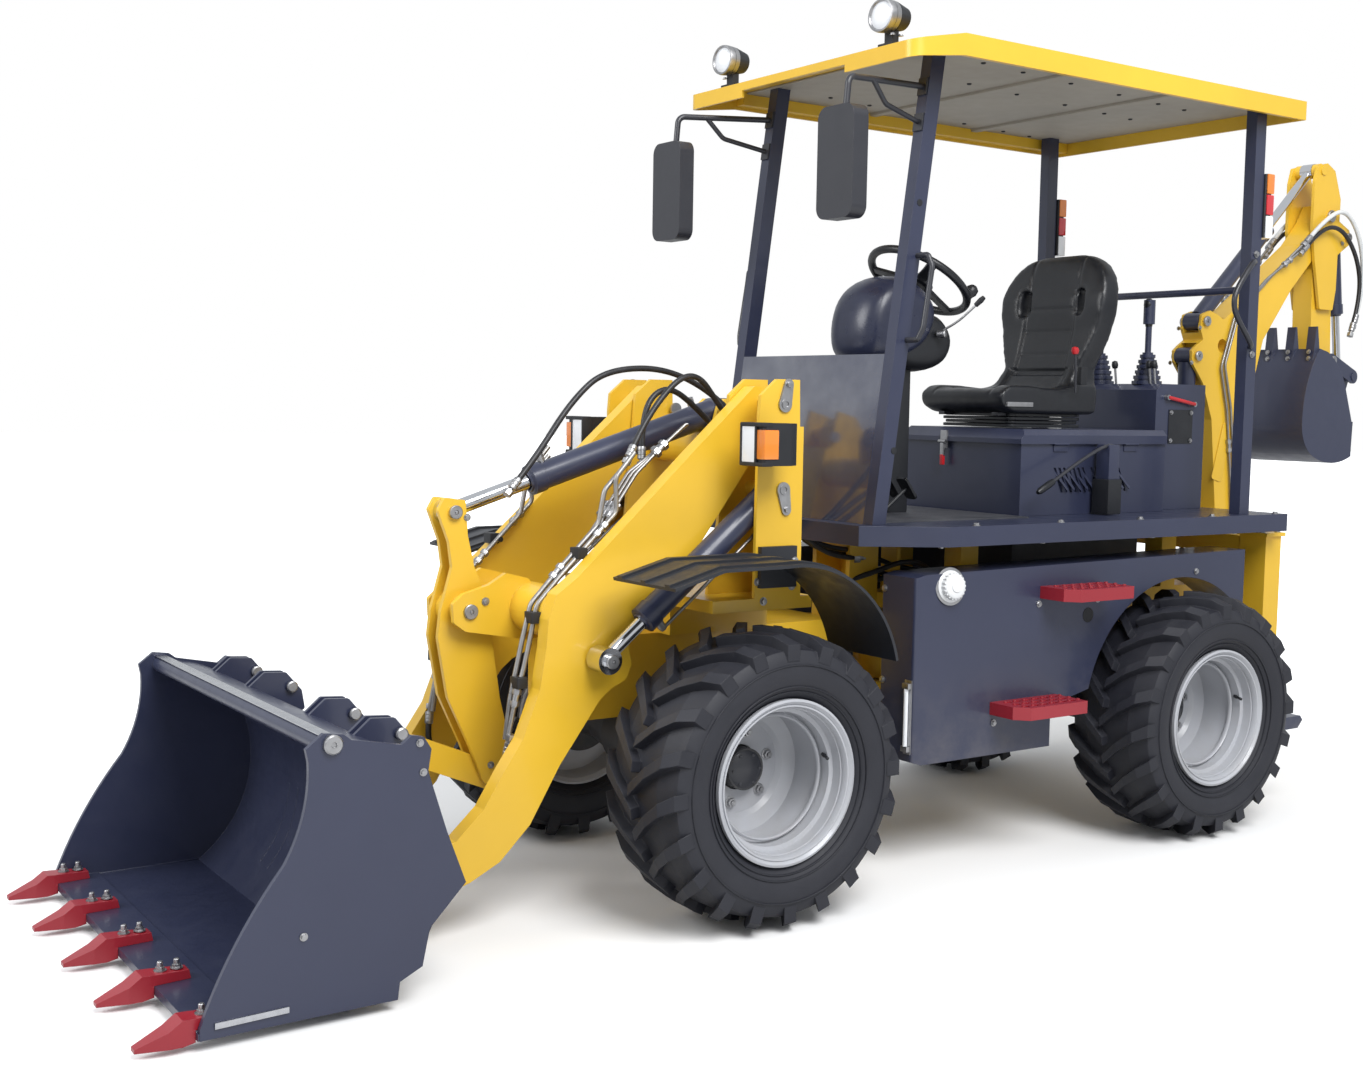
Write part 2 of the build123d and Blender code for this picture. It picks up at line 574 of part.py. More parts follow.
# ================================================================ loader bucket
SIDE_TOP = front(
    (1511, 700), (1518, 735), (1471, 772), (1418, 765), (1396, 748), (1256, 720), (1228, 742), (1194, 735),
    (1172, 700), (1181, 640), (1126, 470), (1069, 321), (1175, 211), (1196, 110), (1261, 79)
)
with BuildLine() as bucket_curve:
    # outer face, from the rim at the top round the back to the cutting edge
    ThreePointArc((FRONT_X + 1436, 738), (FRONT_X + 1296, 712), (FRONT_X + 1201, 640))
    ThreePointArc((FRONT_X + 1201, 640), (FRONT_X + 1134, 330), (FRONT_X + 1326, BUCKET_FLOOR_Z))
    Line((FRONT_X + 1326, BUCKET_FLOOR_Z), (FRONT_X + 1796, BUCKET_FLOOR_Z))
with BuildPart() as loader_bucket:
    for s in (-1, 1):
        # side plate with an S-curved front edge
        side_y = span(s, (BUCKET_HALF - BUCKET_SIDE_T, BUCKET_HALF))
        with BuildSketch(at_y(side_y[1])) as sk:
            with BuildLine():
                foot = (FRONT_X + 1792, BUCKET_FLOOR_Z)
                lip = (FRONT_X + 1792, 60)
                waist = (FRONT_X + 1576, 440)
                heel = (FRONT_X + 1267, BUCKET_FLOOR_Z)
                Line(foot, lip)
                ThreePointArc(lip, (FRONT_X + 1701, 255), waist)
                ThreePointArc(waist, (FRONT_X + 1522, 575), SIDE_TOP[0])
                Polyline(*SIDE_TOP)
                Line(SIDE_TOP[-1], heel)
                Line(heel, foot)
            make_face()
        extrude(sk.sketch, amount=BUCKET_SIDE_T)
    # floor, round back and top in one sheet
    ribbon(bucket_curve.line, 0, BUCKET_SHEET_T, (-BUCKET_HALF + 2, BUCKET_HALF - 2))
    # cutting edge on the floor, and the top bar
    block((FRONT_X + 1656, FRONT_X + 1796), (-BUCKET_HALF + BUCKET_SIDE_T, BUCKET_HALF - BUCKET_SIDE_T),
          (BUCKET_FLOOR_Z + BUCKET_SHEET_T - 1, BUCKET_FLOOR_Z + BUCKET_SHEET_T + 6))
    cross_pin((FRONT_X + 1448, 732), 26, (-BUCKET_HALF + 2, BUCKET_HALF - 2))
    # ears of the arms
    for s in (-1, 1):
        ear_in = span(s, (ARM_Y[0] - SIDE_GAP - 15, ARM_Y[0] - SIDE_GAP))
        ear_out = span(s, (ARM_Y[1] + SIDE_GAP, ARM_Y[1] + SIDE_GAP + 15))
        side = front((1226, 420), (1026, 290), (964, 228), (964, 170), (1006, 136), (1066, 130), (1256, 60))
        for ear in (ear_in, ear_out):
            slab(side, ear, r=6)
        cross_pin(BUCKET_PIN, LIFT_PIN_R, span(s, (ARM_Y[0] - SIDE_GAP - 12, ARM_Y[1] + SIDE_GAP + 12)))
    # ears of the link, and its pin
    cross_pin(LINK_PIN, TILT_PIN_R, (-LINK_EAR_Y[1] - 6, LINK_EAR_Y[1] + 6))
    for s in (-1, 1):
        link_ear = front((1171, 400), (1026, 520), (986, 575), (1006, 630), (1056, 640), (1216, 650))
        slab(link_ear, span(s, LINK_EAR_Y), r=6)
    # spill-guard brackets along the top
    guard = front((1346, 705), (1266, 690), (1198, 612), (1146, 640), (1156, 700), (1206, 760), (1276, 765))
    for s in (-1, 1):
        for y in (232, 268, 560, 596):
            slab(guard, span(s, (y, y + 12)), r=8)
        for y0, y1 in ((225, 287), (553, 615)):
            cross_pin((FRONT_X + 1191, 715), 16, span(s, (y0, y1)))
save(loader_bucket.part, "loader_bucket")

# forked tooth: shank over the cutting edge, point below it
TOOTH_BACK = FRONT_X + 1796     # the bucket's edge, which a tooth straddles
TOOTH_TOP = BUCKET_FLOOR_Z + BUCKET_SHEET_T + 6 + GAP
TOOTH_OUTLINE = front((1941, 20), (1941, 30), (1861, 62), (1828, 86), (1701, 80), (1696, TOOTH_TOP))
with BuildPart() as bucket_teeth:
    for k in range(-2, 3):
        y = k * TOOTH_PITCH
        slab(TOOTH_OUTLINE + [(TOOTH_BACK + GAP, TOOTH_TOP), (TOOTH_BACK + GAP, 24), (TOOTH_BACK + 32, 18)],
             (y - TOOTH_W / 2, y + TOOTH_W / 2))
        # the shank tapers to the rear
        for s in (-1, 1):
            near, far = y + s * TOOTH_W / 2, y + s * TOOTH_W
            deck([(FRONT_X + 1666, y + s * 20), (FRONT_X + 1806, near), (FRONT_X + 1806, far),
                  (FRONT_X + 1666, far)], (TOOTH_TOP - 1, 100), mode=Mode.SUBTRACT)
            deck([(FRONT_X + 1956, y + s * 12), (FRONT_X + 1861, near), (FRONT_X + 1861, far),
                  (FRONT_X + 1956, far)], (10, 70), mode=Mode.SUBTRACT)
save(bucket_teeth.part, "bucket_teeth")

# ================================================================ rear frame
LUG_Z = (PIN_PLATE_Z[0] + PIN_PLATE_T + 4, PIN_PLATE_Z[1] - 4)
with BuildPart() as rear_chassis:
    block((REAR_X - 466, -130), (-CHASSIS_HALF, CHASSIS_HALF), (AXLE_PAD, CHASSIS_TOP))
    # hinge lug between the front frame's plates, with its pin
    block((-140, 0), (-90, 90), LUG_Z)
    post_pin(0, 0, 90, LUG_Z)
    post_pin(0, 0, STEER_PIN_R, (PIN_PLATE_Z[0] - 20, PIN_PLATE_Z[1] + PIN_PLATE_T + 20))
    # cross beam that carries the tanks
    block((-420, -300), (-TANK_Y[0] + GAP, TANK_Y[0] - GAP), (640, 760))
    # platform mounts
    for x in (REAR_X - 416, REAR_X + 734):
        for s in (-1, 1):
            block((x, x + 90), span(s, (140, CHASSIS_HALF)), (CHASSIS_TOP, PLATFORM_TOP - PLATFORM_T - GAP))
save(rear_chassis.part, "rear_chassis")

with BuildPart() as side_tanks:
    for s in (-1, 1):
        ys = span(s, TANK_Y)
        slab(rear((1334, TANK_LOW), (1379, TANK_LOW + 14), (1379, TANK_TOP - 10), (1334, TANK_TOP),
                  (-387, TANK_TOP + 25), (-387, 700), (34, 700), (639, 565), (704, 520), (704, TANK_LOW)), ys)
        cross_pin((REAR_X, TYRE_R), ARCH_R, (ys[0] - 1, ys[1] + 1), mode=Mode.SUBTRACT)
    # rounded corner down the front
    outer = side_tanks.edges().filter_by(Axis.Z).group_by(Axis.X)[-1]
    fillet([e for e in outer if abs(e.center().Y) > TANK_Y[1] - 1], 14)
save(side_tanks.part, "side_tanks")

# x range and top of a tread
STEPS = [((REAR_X + 459, REAR_X + 779), 995), ((REAR_X + 684, REAR_X + 1014), 592)]
STEP_T = 45
STEP_W = 160
with BuildPart() as steps:
    for s in (-1, 1):
        inner = TANK_Y[1] + GAP
        outer = TANK_Y[1] + STEP_W
        for xr, z in STEPS:
            deck([(xr[0], s * inner), (xr[1], s * inner), (xr[1], s * (outer - 45)), (xr[1] - 45, s * outer),
                  (xr[0], s * outer)], (z - STEP_T, z))
            # hollow below, with a row of holes through the tread
            hollow = [(xr[0] + 8, s * (inner + 8)), (xr[1] - 8, s * (inner + 8)), (xr[1] - 8, s * (outer - 50)),
                      (xr[1] - 50, s * (outer - 8)), (xr[0] + 8, s * (outer - 8))]
            deck(hollow, (z - STEP_T - 1, z - 8), mode=Mode.SUBTRACT)
            with BuildSketch(at_z(z - 9)):
                with Locations(((xr[0] + xr[1]) / 2 - 8, s * (inner + outer) / 2)):
                    with GridLocations(46, 44, 6, 3):
                        RectangleRounded(28, 20, 4)
            extrude(amount=10, mode=Mode.SUBTRACT)
save(steps.part, "steps")

PLATFORM_PLAN = [
    (PLATFORM_REAR, -PLATFORM_HALF), (REAR_X + 1262, -PLATFORM_HALF), (PLATFORM_FRONT, -473),
    (PLATFORM_FRONT, 473), (REAR_X + 1262, PLATFORM_HALF), (PLATFORM_REAR, PLATFORM_HALF),
]
with BuildPart() as platform:
    deck(PLATFORM_PLAN, (PLATFORM_TOP - PLATFORM_T, PLATFORM_TOP))
save(platform.part, "platform")

with BuildPart() as engine_block:
    block((REAR_X - 216, REAR_X + 514), (-190, 190), (CHASSIS_TOP + GAP, PLATFORM_TOP - PLATFORM_T - 5))
save(engine_block.part, "engine_block")

DECK_Z = PLATFORM_TOP + GAP          # what stands on the platform starts here


def post_x(z):
    """Centre of the leaning front post at height z."""
    head_z = ROOF_TOP - ROOF_T - GAP
    return POST_FOOT_X + (POST_HEAD_X - POST_FOOT_X) * (z - DECK_Z) / (head_z - DECK_Z)


# leaning sheet between the front posts, with a flange along its top
DASH_T = 14
DASH_HALF = POST_Y - POST[1] / 2 - GAP
with BuildPart() as dash:
    low = post_x(DECK_Z) + POST[0] / 2
    high = post_x(DASH_TOP) + POST[0] / 2
    slab([(low - DASH_T, DECK_Z), (low, DECK_Z), (high, DASH_TOP), (high - 75, DASH_TOP + 3),
          (high - 75, DASH_TOP - DASH_T + 3), (high - DASH_T, DASH_TOP - DASH_T)], (-DASH_HALF, DASH_HALF))
    # cover of the pedals behind it
    slab([(REAR_X + 1234, DECK_Z), (low - DASH_T + 2, DECK_Z), (post_x(1500) + 22, 1500),
          (REAR_X + 1284, 1470)], (-250, 250), r=5)
save(dash.part, "dash")

LOUVRES = (REAR_X + 334, REAR_X + 129)       # middle of each group of louvres on the left side
with BuildPart() as seat_box:
    lid_z = SEAT_BOX_TOP - 55
    block(SEAT_BOX_X, (-SEAT_BOX_HALF, SEAT_BOX_HALF), (DECK_Z, lid_z))
    # lid with sloping edges that stands out over the box
    slab([(SEAT_BOX_X[0] + 6, lid_z - 1), (SEAT_BOX_X[1] + 14, lid_z - 1), (SEAT_BOX_X[1] + 14, lid_z + 18),
          (SEAT_BOX_X[1] - 22, SEAT_BOX_TOP), (SEAT_BOX_X[0] + 6, SEAT_BOX_TOP)],
         (-SEAT_BOX_HALF - 12, SEAT_BOX_HALF + 12))
    lid_edges = seat_box.edges().filter_by(Axis.X).group_by(Axis.Z)[-1]
    chamfer(lid_edges, 22)
    # slanted louvres through the left wall
    for x in LOUVRES:
        for k in range(-3, 4):
            foot = x + 26 * k - 22
            slab([(foot, 1312), (foot + 13, 1312), (foot + 57, 1408), (foot + 44, 1408)],
                 (SEAT_BOX_HALF - 8, SEAT_BOX_HALF + 1), mode=Mode.SUBTRACT)
save(seat_box.part, "seat_box")

SEAT_BASE_Z = SEAT_BOX_TOP + GAP
with BuildPart() as seat:
    # back rest: side curve, cut to its front outline
    slab(rear((234, 1640), (274, 1700), (204, 1800), (162, 1950), (154, 2080), (104, 2240), (59, 2265),
                (24, 2235), (49, 2100), (59, 1950), (84, 1800), (104, 1640)), (-300, 300), r=14)
    with BuildSketch(at_x(REAR_X + 4)) as outline:
        with BuildLine():
            Line((-225, 1600), (225, 1600))
            for s in (-1, 1):
                Line((s * 225, 1600), (s * 205, 1800))
                ThreePointArc((s * 205, 1800), (s * 250, 1900), (s * 284, 2030))
                ThreePointArc((s * 284, 2030), (s * 250, 2180), (s * 120, 2258))
                ThreePointArc((s * 120, 2258), (s * 60, 2266), (0, 2268))
        make_face()
    extrude(amount=400, mode=Mode.INTERSECT)
    # slot in each shoulder of the back rest
    with BuildSketch(at_x(REAR_X + 4)):
        with Locations((-152, 2066), (152, 2066)):
            SlotOverall(112, 42, rotation=90)
    extrude(amount=260, mode=Mode.SUBTRACT)
    # cushion and its suspension box
    slab(rear((104, 1612), (564, 1612), (629, 1640), (644, 1690), (594, 1722), (474, 1722), (334, 1712),
                (234, 1728), (104, 1730)), (-235, 235), r=10)
    block((REAR_X + 154, REAR_X + 554), (-205, 205), (SEAT_BASE_Z, 1613))
save(seat.part, "seat")

# steering column with its cowl, and the wheel tilted towards the operator
RING = (REAR_X + 869, 2112)          # middle of the steering wheel
RING_R = 200
RING_TILT = 33
with BuildPart() as steering:
    block((REAR_X + 944, REAR_X + 1044), (-55, 55), (DECK_Z, 1800))
    slab(rear((914, 1770), (1094, 1760), (1224, 1850), (1184, 1990), (1054, 2050), (914, 2010), (784, 1930),
                (734, 1850), (804, 1790)), (-135, 135), r=22)
    normal = (-sin(radians(RING_TILT)), 0, cos(radians(RING_TILT)))
    hub = Plane(origin=point(RING[0], 0, RING[1]), x_dir=(0, 1, 0), z_dir=normal)
    # column head up to the hub
    with BuildSketch(hub.offset(-110)):
        Circle(34)
    extrude(amount=108)
    with BuildSketch(hub.offset(-18)):
        Circle(62)
    extrude(amount=30)
    # three flat spokes and the ring
    with BuildSketch(hub.offset(-8)):
        with PolarLocations(RING_R / 2, 3, start_angle=-90):
            Rectangle(RING_R, 34)
        Circle(RING_R - 2, mode=Mode.INTERSECT)
    extrude(amount=14)
    rim_start = hub.origin + hub.x_dir * (RING_R - 8)
    with BuildSketch(Plane(origin=rim_start, x_dir=hub.x_dir, z_dir=hub.y_dir)):
        Circle(14)
    revolve(axis=Axis(hub.origin, hub.z_dir))
save(steering.part, "steering_column")

with BuildPart() as console:
    slab([(CONSOLE_X[0], DECK_Z), (CONSOLE_X[1], DECK_Z), (CONSOLE_X[1], CONSOLE_TOP - 25),
          (CONSOLE_X[1] - 40, CONSOLE_TOP), (CONSOLE_X[0], CONSOLE_TOP)], (-260, 260))
    # joystick bellows and handles
    for s in (-1, 1):
        foot = point(REAR_X - 306, s * 130, CONSOLE_TOP - 1)
        for k in range(6):
            with BuildSketch(Plane(origin=foot + Vector(0, 0, 22 * k))):
                Circle(62 - 6 * k)
            extrude(amount=14)
            with BuildSketch(Plane(origin=foot + Vector(0, 0, 22 * k + 13))):
                Circle(52 - 6 * k)
            extrude(amount=10)
        rod((REAR_X - 306, s * 130, CONSOLE_TOP + 125), (REAR_X - 306, s * 130, CONSOLE_TOP + 290), 13)
        rod((REAR_X - 306, s * 130, CONSOLE_TOP + 250), (REAR_X - 306, s * 130, CONSOLE_TOP + 350), 24)
save(console.part, "backhoe_console")

# ================================================================ canopy
UNDER_ROOF = ROOF_TOP - ROOF_T - GAP
with BuildPart() as canopy_frame:
    for s in (-1, 1):
        # rear post, upright
        block((REAR_POST_X - POST[0] / 2, REAR_POST_X + POST[0] / 2),
              span(s, (REAR_POST_Y - POST[1] / 2, REAR_POST_Y + POST[1] / 2)), (DECK_Z, UNDER_ROOF))
        # front post, leaning back
        slab([(post_x(DECK_Z) - POST[0] / 2, DECK_Z), (post_x(DECK_Z) + POST[0] / 2, DECK_Z),
              (post_x(UNDER_ROOF) + POST[0] / 2, UNDER_ROOF), (post_x(UNDER_ROOF) - POST[0] / 2, UNDER_ROOF)],
             span(s, (POST_Y - POST[1] / 2, POST_Y + POST[1] / 2)))
    rod((REAR_POST_X - 15, -REAR_POST_Y, CROSS_BAR_Z), (REAR_POST_X - 15, REAR_POST_Y, CROSS_BAR_Z), 15)
save(canopy_frame.part, "canopy_frame")


def roof_top(x):
    """Height of the roof's upper face at x."""
    fall = (x - ROOF_FOLD) / (ROOF_FRONT - ROOF_FOLD)
    return ROOF_TOP - VISOR_DROP * max(0, fall)


with BuildPart() as roof:
    skirt_front = ROOF_TOP - VISOR_DROP - 56
    slab([(ROOF_REAR, ROOF_TOP), (ROOF_FOLD, ROOF_TOP), (ROOF_FRONT, roof_top(ROOF_FRONT)),
          (ROOF_FRONT, skirt_front), (ROOF_FOLD, ROOF_TOP - SKIRT), (ROOF_REAR, ROOF_TOP - SKIRT)],
         (-ROOF_HALF, ROOF_HALF))
    fillet(roof.edges().filter_by(Axis.Z).group_by(Axis.X)[-1], 50)
    below = [f for f in roof.faces() if f.normal_at().Z < -0.5]
    offset(amount=-ROOF_T, openings=below)
    # the front skirt is shorter between the lamps
    notch_z = (skirt_front - 1, skirt_front + 26)
    block((ROOF_FRONT - 30, ROOF_FRONT + 10), (-300, 300), notch_z, mode=Mode.SUBTRACT)
    # tubes along the sides that the posts meet
    for s in (-1, 1):
        block((ROOF_REAR + ROOF_T - 1, ROOF_FOLD), span(s, (ROOF_HALF - 60, ROOF_HALF - ROOF_T + 1)),
              (ROOF_TOP - SKIRT + 12, ROOF_TOP - ROOF_T + 1))
save(roof.part, "roof")

LAMP_PLACE = (REAR_X + 1478, 460)
LAMP_Z = ROOF_TOP + 62
with BuildPart() as lamps:
    for s in (-1, 1):
        # work lamp over the visor, on its foot
        with BuildSketch(at_x(LAMP_PLACE[0] - 90)) as back:
            with Locations((s * LAMP_PLACE[1], LAMP_Z)):
                Ellipse(44, 38)
        with BuildSketch(at_x(LAMP_PLACE[0] - 40)) as front_rim:
            with Locations((s * LAMP_PLACE[1], LAMP_Z)):
                Ellipse(60, 52)
        loft([back.sketch, front_rim.sketch])
        extrude(front_rim.sketch, amount=40)
        foot_x = LAMP_PLACE[0] - 44
        foot_y = s * LAMP_PLACE[1]
        block((foot_x - 14, foot_x + 14), (foot_y - 20, foot_y + 20), (roof_top(foot_x) + 4, LAMP_Z - 20))
        slab([(foot_x - 30, roof_top(foot_x - 30) + GAP), (foot_x + 30, roof_top(foot_x + 30) + GAP),
              (foot_x + 30, roof_top(foot_x) + 6), (foot_x - 30, roof_top(foot_x) + 9)],
             (foot_y - 35, foot_y + 35))
        # tail lamp on the rear post
        rear_face = REAR_POST_X - POST[0] / 2 - GAP
        deck([(rear_face - 45, s * 525), (rear_face, s * 520), (rear_face, s * 590), (rear_face - 45, s * 585)],
             (2330, 2580), r=6)
save(lamps.part, "lamps")

MIRROR = (REAR_X + 1670, 504, 2423)
MIRROR_SIZE = (62, 185, 364)
MIRROR_FEET = (2727, 2605)           # heights of its two feet on the post
with BuildPart() as mirrors:
    for s in (-1, 1):
        with BuildSketch(at_x(MIRROR[0] - MIRROR_SIZE[0] / 2)):
            with Locations((s * MIRROR[1], MIRROR[2])):
                RectangleRounded(MIRROR_SIZE[1], MIRROR_SIZE[2], 40)
        extrude(amount=MIRROR_SIZE[0])
        # foot plates on the post
        for z in MIRROR_FEET:
            face = POST[0] / 2 + GAP
            slab([(post_x(z - 30) + face, z - 30), (post_x(z - 30) + face + 7, z - 30),
                  (post_x(z + 30) + face + 7, z + 30), (post_x(z + 30) + face, z + 30)],
                 span(s, (POST_Y - 22, POST_Y + 22)))
        # bracket: an arm with an elbow, and a strut
        high, low = MIRROR_FEET
        bent_tube([(post_x(high) + 35, s * POST_Y, high), (MIRROR[0] - 20, s * MIRROR[1], high - 22),
                   (MIRROR[0] - 10, s * MIRROR[1], MIRROR[2] + 170)], 30, 11)
        bent_tube([(post_x(low) + 34, s * POST_Y, low), (MIRROR[0] - 206, s * (MIRROR[1] - 30), low + 35),
                   (MIRROR[0] - 136, s * (MIRROR[1] - 17), high - 15)], 40, 9)
save(mirrors.part, "mirrors_and_rails")

# ================================================================ backhoe
STAB_MID_X = (STAB_X[0] + STAB_X[1]) / 2
STAB_MID_Y = (STAB_Y[0] + STAB_Y[1]) / 2
STAB_WIDE = (STAB_X[1] - STAB_X[0], STAB_Y[1] - STAB_Y[0])
with BuildPart() as slide_frame:
    for s in (-1, 1):
        with BuildSketch(at_z(560)):
            with Locations((STAB_MID_X, s * STAB_MID_Y)):
                Rectangle(*STAB_WIDE)
                Rectangle(STAB_WIDE[0] - 2 * STAB_WALL, STAB_WIDE[1] - 2 * STAB_WALL, mode=Mode.SUBTRACT)
        extrude(amount=566)
        # cap plate on the tube
        block((STAB_X[0] - 12, STAB_X[1] + 12), span(s, (STAB_Y[0] - 12, STAB_Y[1] + 12)), (1125, 1140))
    # cross beams between the tubes, low and high
    for zs in ((600, 710), (1045, 1120)):
        block((STAB_X[0] + 5, STAB_X[1] - 5), (-STAB_Y[0] - 4, STAB_Y[0] + 4), zs)
    block((STAB_X[1] - 10, REAR_X - 466 - GAP), (-CHASSIS_HALF, CHASSIS_HALF), (600, CHASSIS_TOP))
    # plate, lugs and pin of the swing post
    block((REAR_X - 691, REAR_X - 666), (-110, 110), (KING_LUG_Z[0], 840))
    for z in KING_LUG_Z:
        block((SWING_X, REAR_X - 676), (-KING_R, KING_R), (z, z + KING_LUG_T))
        post_pin(SWING_X, 0, KING_R, (z, z + KING_LUG_T))
    post_pin(SWING_X, 0, KING_PIN_R, (KING_LUG_Z[0] - 20, KING_LUG_Z[1] + KING_LUG_T + 10))
save(slide_frame.part, "slide_frame")

LEG_TOP = 1120
LEG_HALF = [wide / 2 - STAB_WALL - 4 for wide in STAB_WIDE]
for side, s in [("left", 1), ("right", -1)]:
    with BuildPart() as leg:
        block((STAB_MID_X - LEG_HALF[0], STAB_MID_X + LEG_HALF[0]),
              (s * STAB_MID_Y - LEG_HALF[1], s * STAB_MID_Y + LEG_HALF[1]), (380, LEG_TOP))
        # runner pad inside the tube
        with BuildSketch(at_z(LEG_TOP - 80)):
            with Locations((STAB_MID_X, s * STAB_MID_Y)):
                Rectangle(STAB_WIDE[0] - 2 * (STAB_WALL + GAP), STAB_WIDE[1] - 2 * (STAB_WALL + GAP))
        extrude(amount=60)
        # foot plate with turned-up ends
        slab([(STAB_MID_X - 110, 362), (STAB_MID_X - 80, 330), (STAB_MID_X + 70, 330),
              (STAB_MID_X + 100, 362), (STAB_MID_X + 84, 381), (STAB_MID_X - 94, 381)], span(s, (470, 650)))
    save(leg.part, f"stabiliser_leg_{side}")

POST_Z = (KING_LUG_Z[0] + KING_LUG_T + 5, KING_LUG_Z[1] - 5)
FOOT_Y = (BOOM_HALF + 6, BOOM_HALF + 26)     # one cheek of the boom's foot
BRIDGE_X = (REAR_X - 912, REAR_X - 886)
with BuildPart() as swing_post:
    post_pin(SWING_X, 0, KING_R, POST_Z)
    block((BRIDGE_X[0], SWING_X), (-KING_R + 5, KING_R - 5), POST_Z)
    # bridge plate, slotted for the boom's cylinder, and the cheeks of the boom's foot
    block(BRIDGE_X, (-FOOT_Y[1], FOOT_Y[1]), (600, 985))
    bridge_slot = (BRIDGE_X[0] - 1, BRIDGE_X[1] + 1)
    block(bridge_slot, (-CYL_SLOT_HALF, CYL_SLOT_HALF), (790, 986), mode=Mode.SUBTRACT)
    for s in (-1, 1):
        slab(rear((-896, 600), (-1046, 640), (-1058, 700), (-1036, 770), (-896, 900)), span(s, FOOT_Y), r=8)
        # horn beside the eye of the boom's rod, with the head of its pin
        slab(rear((-906, 850), (-726, 850), (-714, 900), (-726, 940), (-866, 985), (-906, 985)),
             span(s, HORN_Y))
        cross_pin(BOOM_CYL_LOW, CYL_PIN_R, span(s, (HORN_Y[1] - 1, HORN_Y[1] + 6)))
    cross_pin(BOOM_PIN, BOOM_PIN_R, (-FOOT_Y[0] - 4, FOOT_Y[0] + 4))
    post_pin(SWING_X, 0, KING_PIN_R + PIN_GAP, POST_Z, mode=Mode.SUBTRACT)
save(swing_post.part, "swing_post")

BOOM_OUTLINE = rear(
    (-1044, 665), (-1026, 645), (-966, 636), (-928, 665), (-924, 900), (-871, 1317), (-836, 1600),
    (-766, 1760), (-686, 1850), (-682, 1900), (-714, 1925), (-756, 1950), (-731, 2000), (-741, 2060),
    (-796, 2078), (-846, 2062), (-891, 2042), (-1154, 2223), (-1420, 2408), (-1526, 2520), (-1577, 2604),
    (-1642, 2596), (-1651, 2514), (-1586, 2410), (-1502, 2335), (-1362, 2199), (-1174, 1964), (-1096, 1700),
    (-1096, 1317)
)
with BuildPart() as boom:
    slab(BOOM_OUTLINE, (-BOOM_HALF, BOOM_HALF), r=5)
    cross_pin(BOOM_PIN, BOOM_PIN_R + PIN_GAP, (-BOOM_HALF - 1, BOOM_HALF + 1), mode=Mode.SUBTRACT)
    cross_pin(STICK_PIN, BOOM_PIN_R + PIN_GAP, (-BOOM_HALF - 1, BOOM_HALF + 1), mode=Mode.SUBTRACT)
    # lightening hole over the knee
    cross_pin((REAR_X - 887, 1927), 30, (-BOOM_HALF - 1, BOOM_HALF + 1), mode=Mode.SUBTRACT)
    # slots of the boom's and of the stick's cylinder
    slot = (-CYL_SLOT_HALF, CYL_SLOT_HALF)
    slab(rear((-826, 1500), (-666, 1500), (-666, 1935), (-756, 1935), (-796, 1850)), slot, mode=Mode.SUBTRACT)
    slab(rear((-706, 1978), (-816, 1985), (-906, 2030), (-906, 2200), (-666, 2200), (-666, 1978)),
         slot, mode=Mode.SUBTRACT)
    for p in (BOOM_CYL_TOP, STICK_CYL):
        cross_pin(p, CYL_PIN_R, (-BOOM_HALF - 6, BOOM_HALF + 6))
save(boom.part, "boom")

with BuildPart() as boom_barrel:
    barrel(BOOM_CYL_TOP, BOOM_CYL_LOW, 0, 38, BOOM_BARREL, 38, CYL_SLOT_HALF - SIDE_GAP, CYL_PIN_R)
    barrel_bore(BOOM_CYL_TOP, BOOM_CYL_LOW, 0, ROD_R, 60, BOOM_BARREL)
save(boom_barrel.part, "boom_barrel")
with BuildPart() as boom_rod:
    piston_rod(BOOM_CYL_TOP, BOOM_CYL_LOW, 0, ROD_R, 90, 36, HORN_Y[0] - SIDE_GAP)
save(boom_rod.part, "boom_rod")

CHEEK_Y = (BOOM_HALF + 5, BOOM_HALF + 20)    # one cheek of the stick's head
EYE_HALF = 30                                # half width of the stick rod's eye
with BuildPart() as stick_barrel:
    barrel(STICK_CYL, STICK_TAIL, 0, 36, STICK_BARREL, 38, CYL_SLOT_HALF - SIDE_GAP, CYL_PIN_R)
    barrel_bore(STICK_CYL, STICK_TAIL, 0, ROD_R, 60, STICK_BARREL)
save(stick_barrel.part, "stick_barrel")
with BuildPart() as stick_rod:
    piston_rod(STICK_CYL, STICK_TAIL, 0, ROD_R, 520, 34, EYE_HALF)
save(stick_rod.part, "stick_rod")

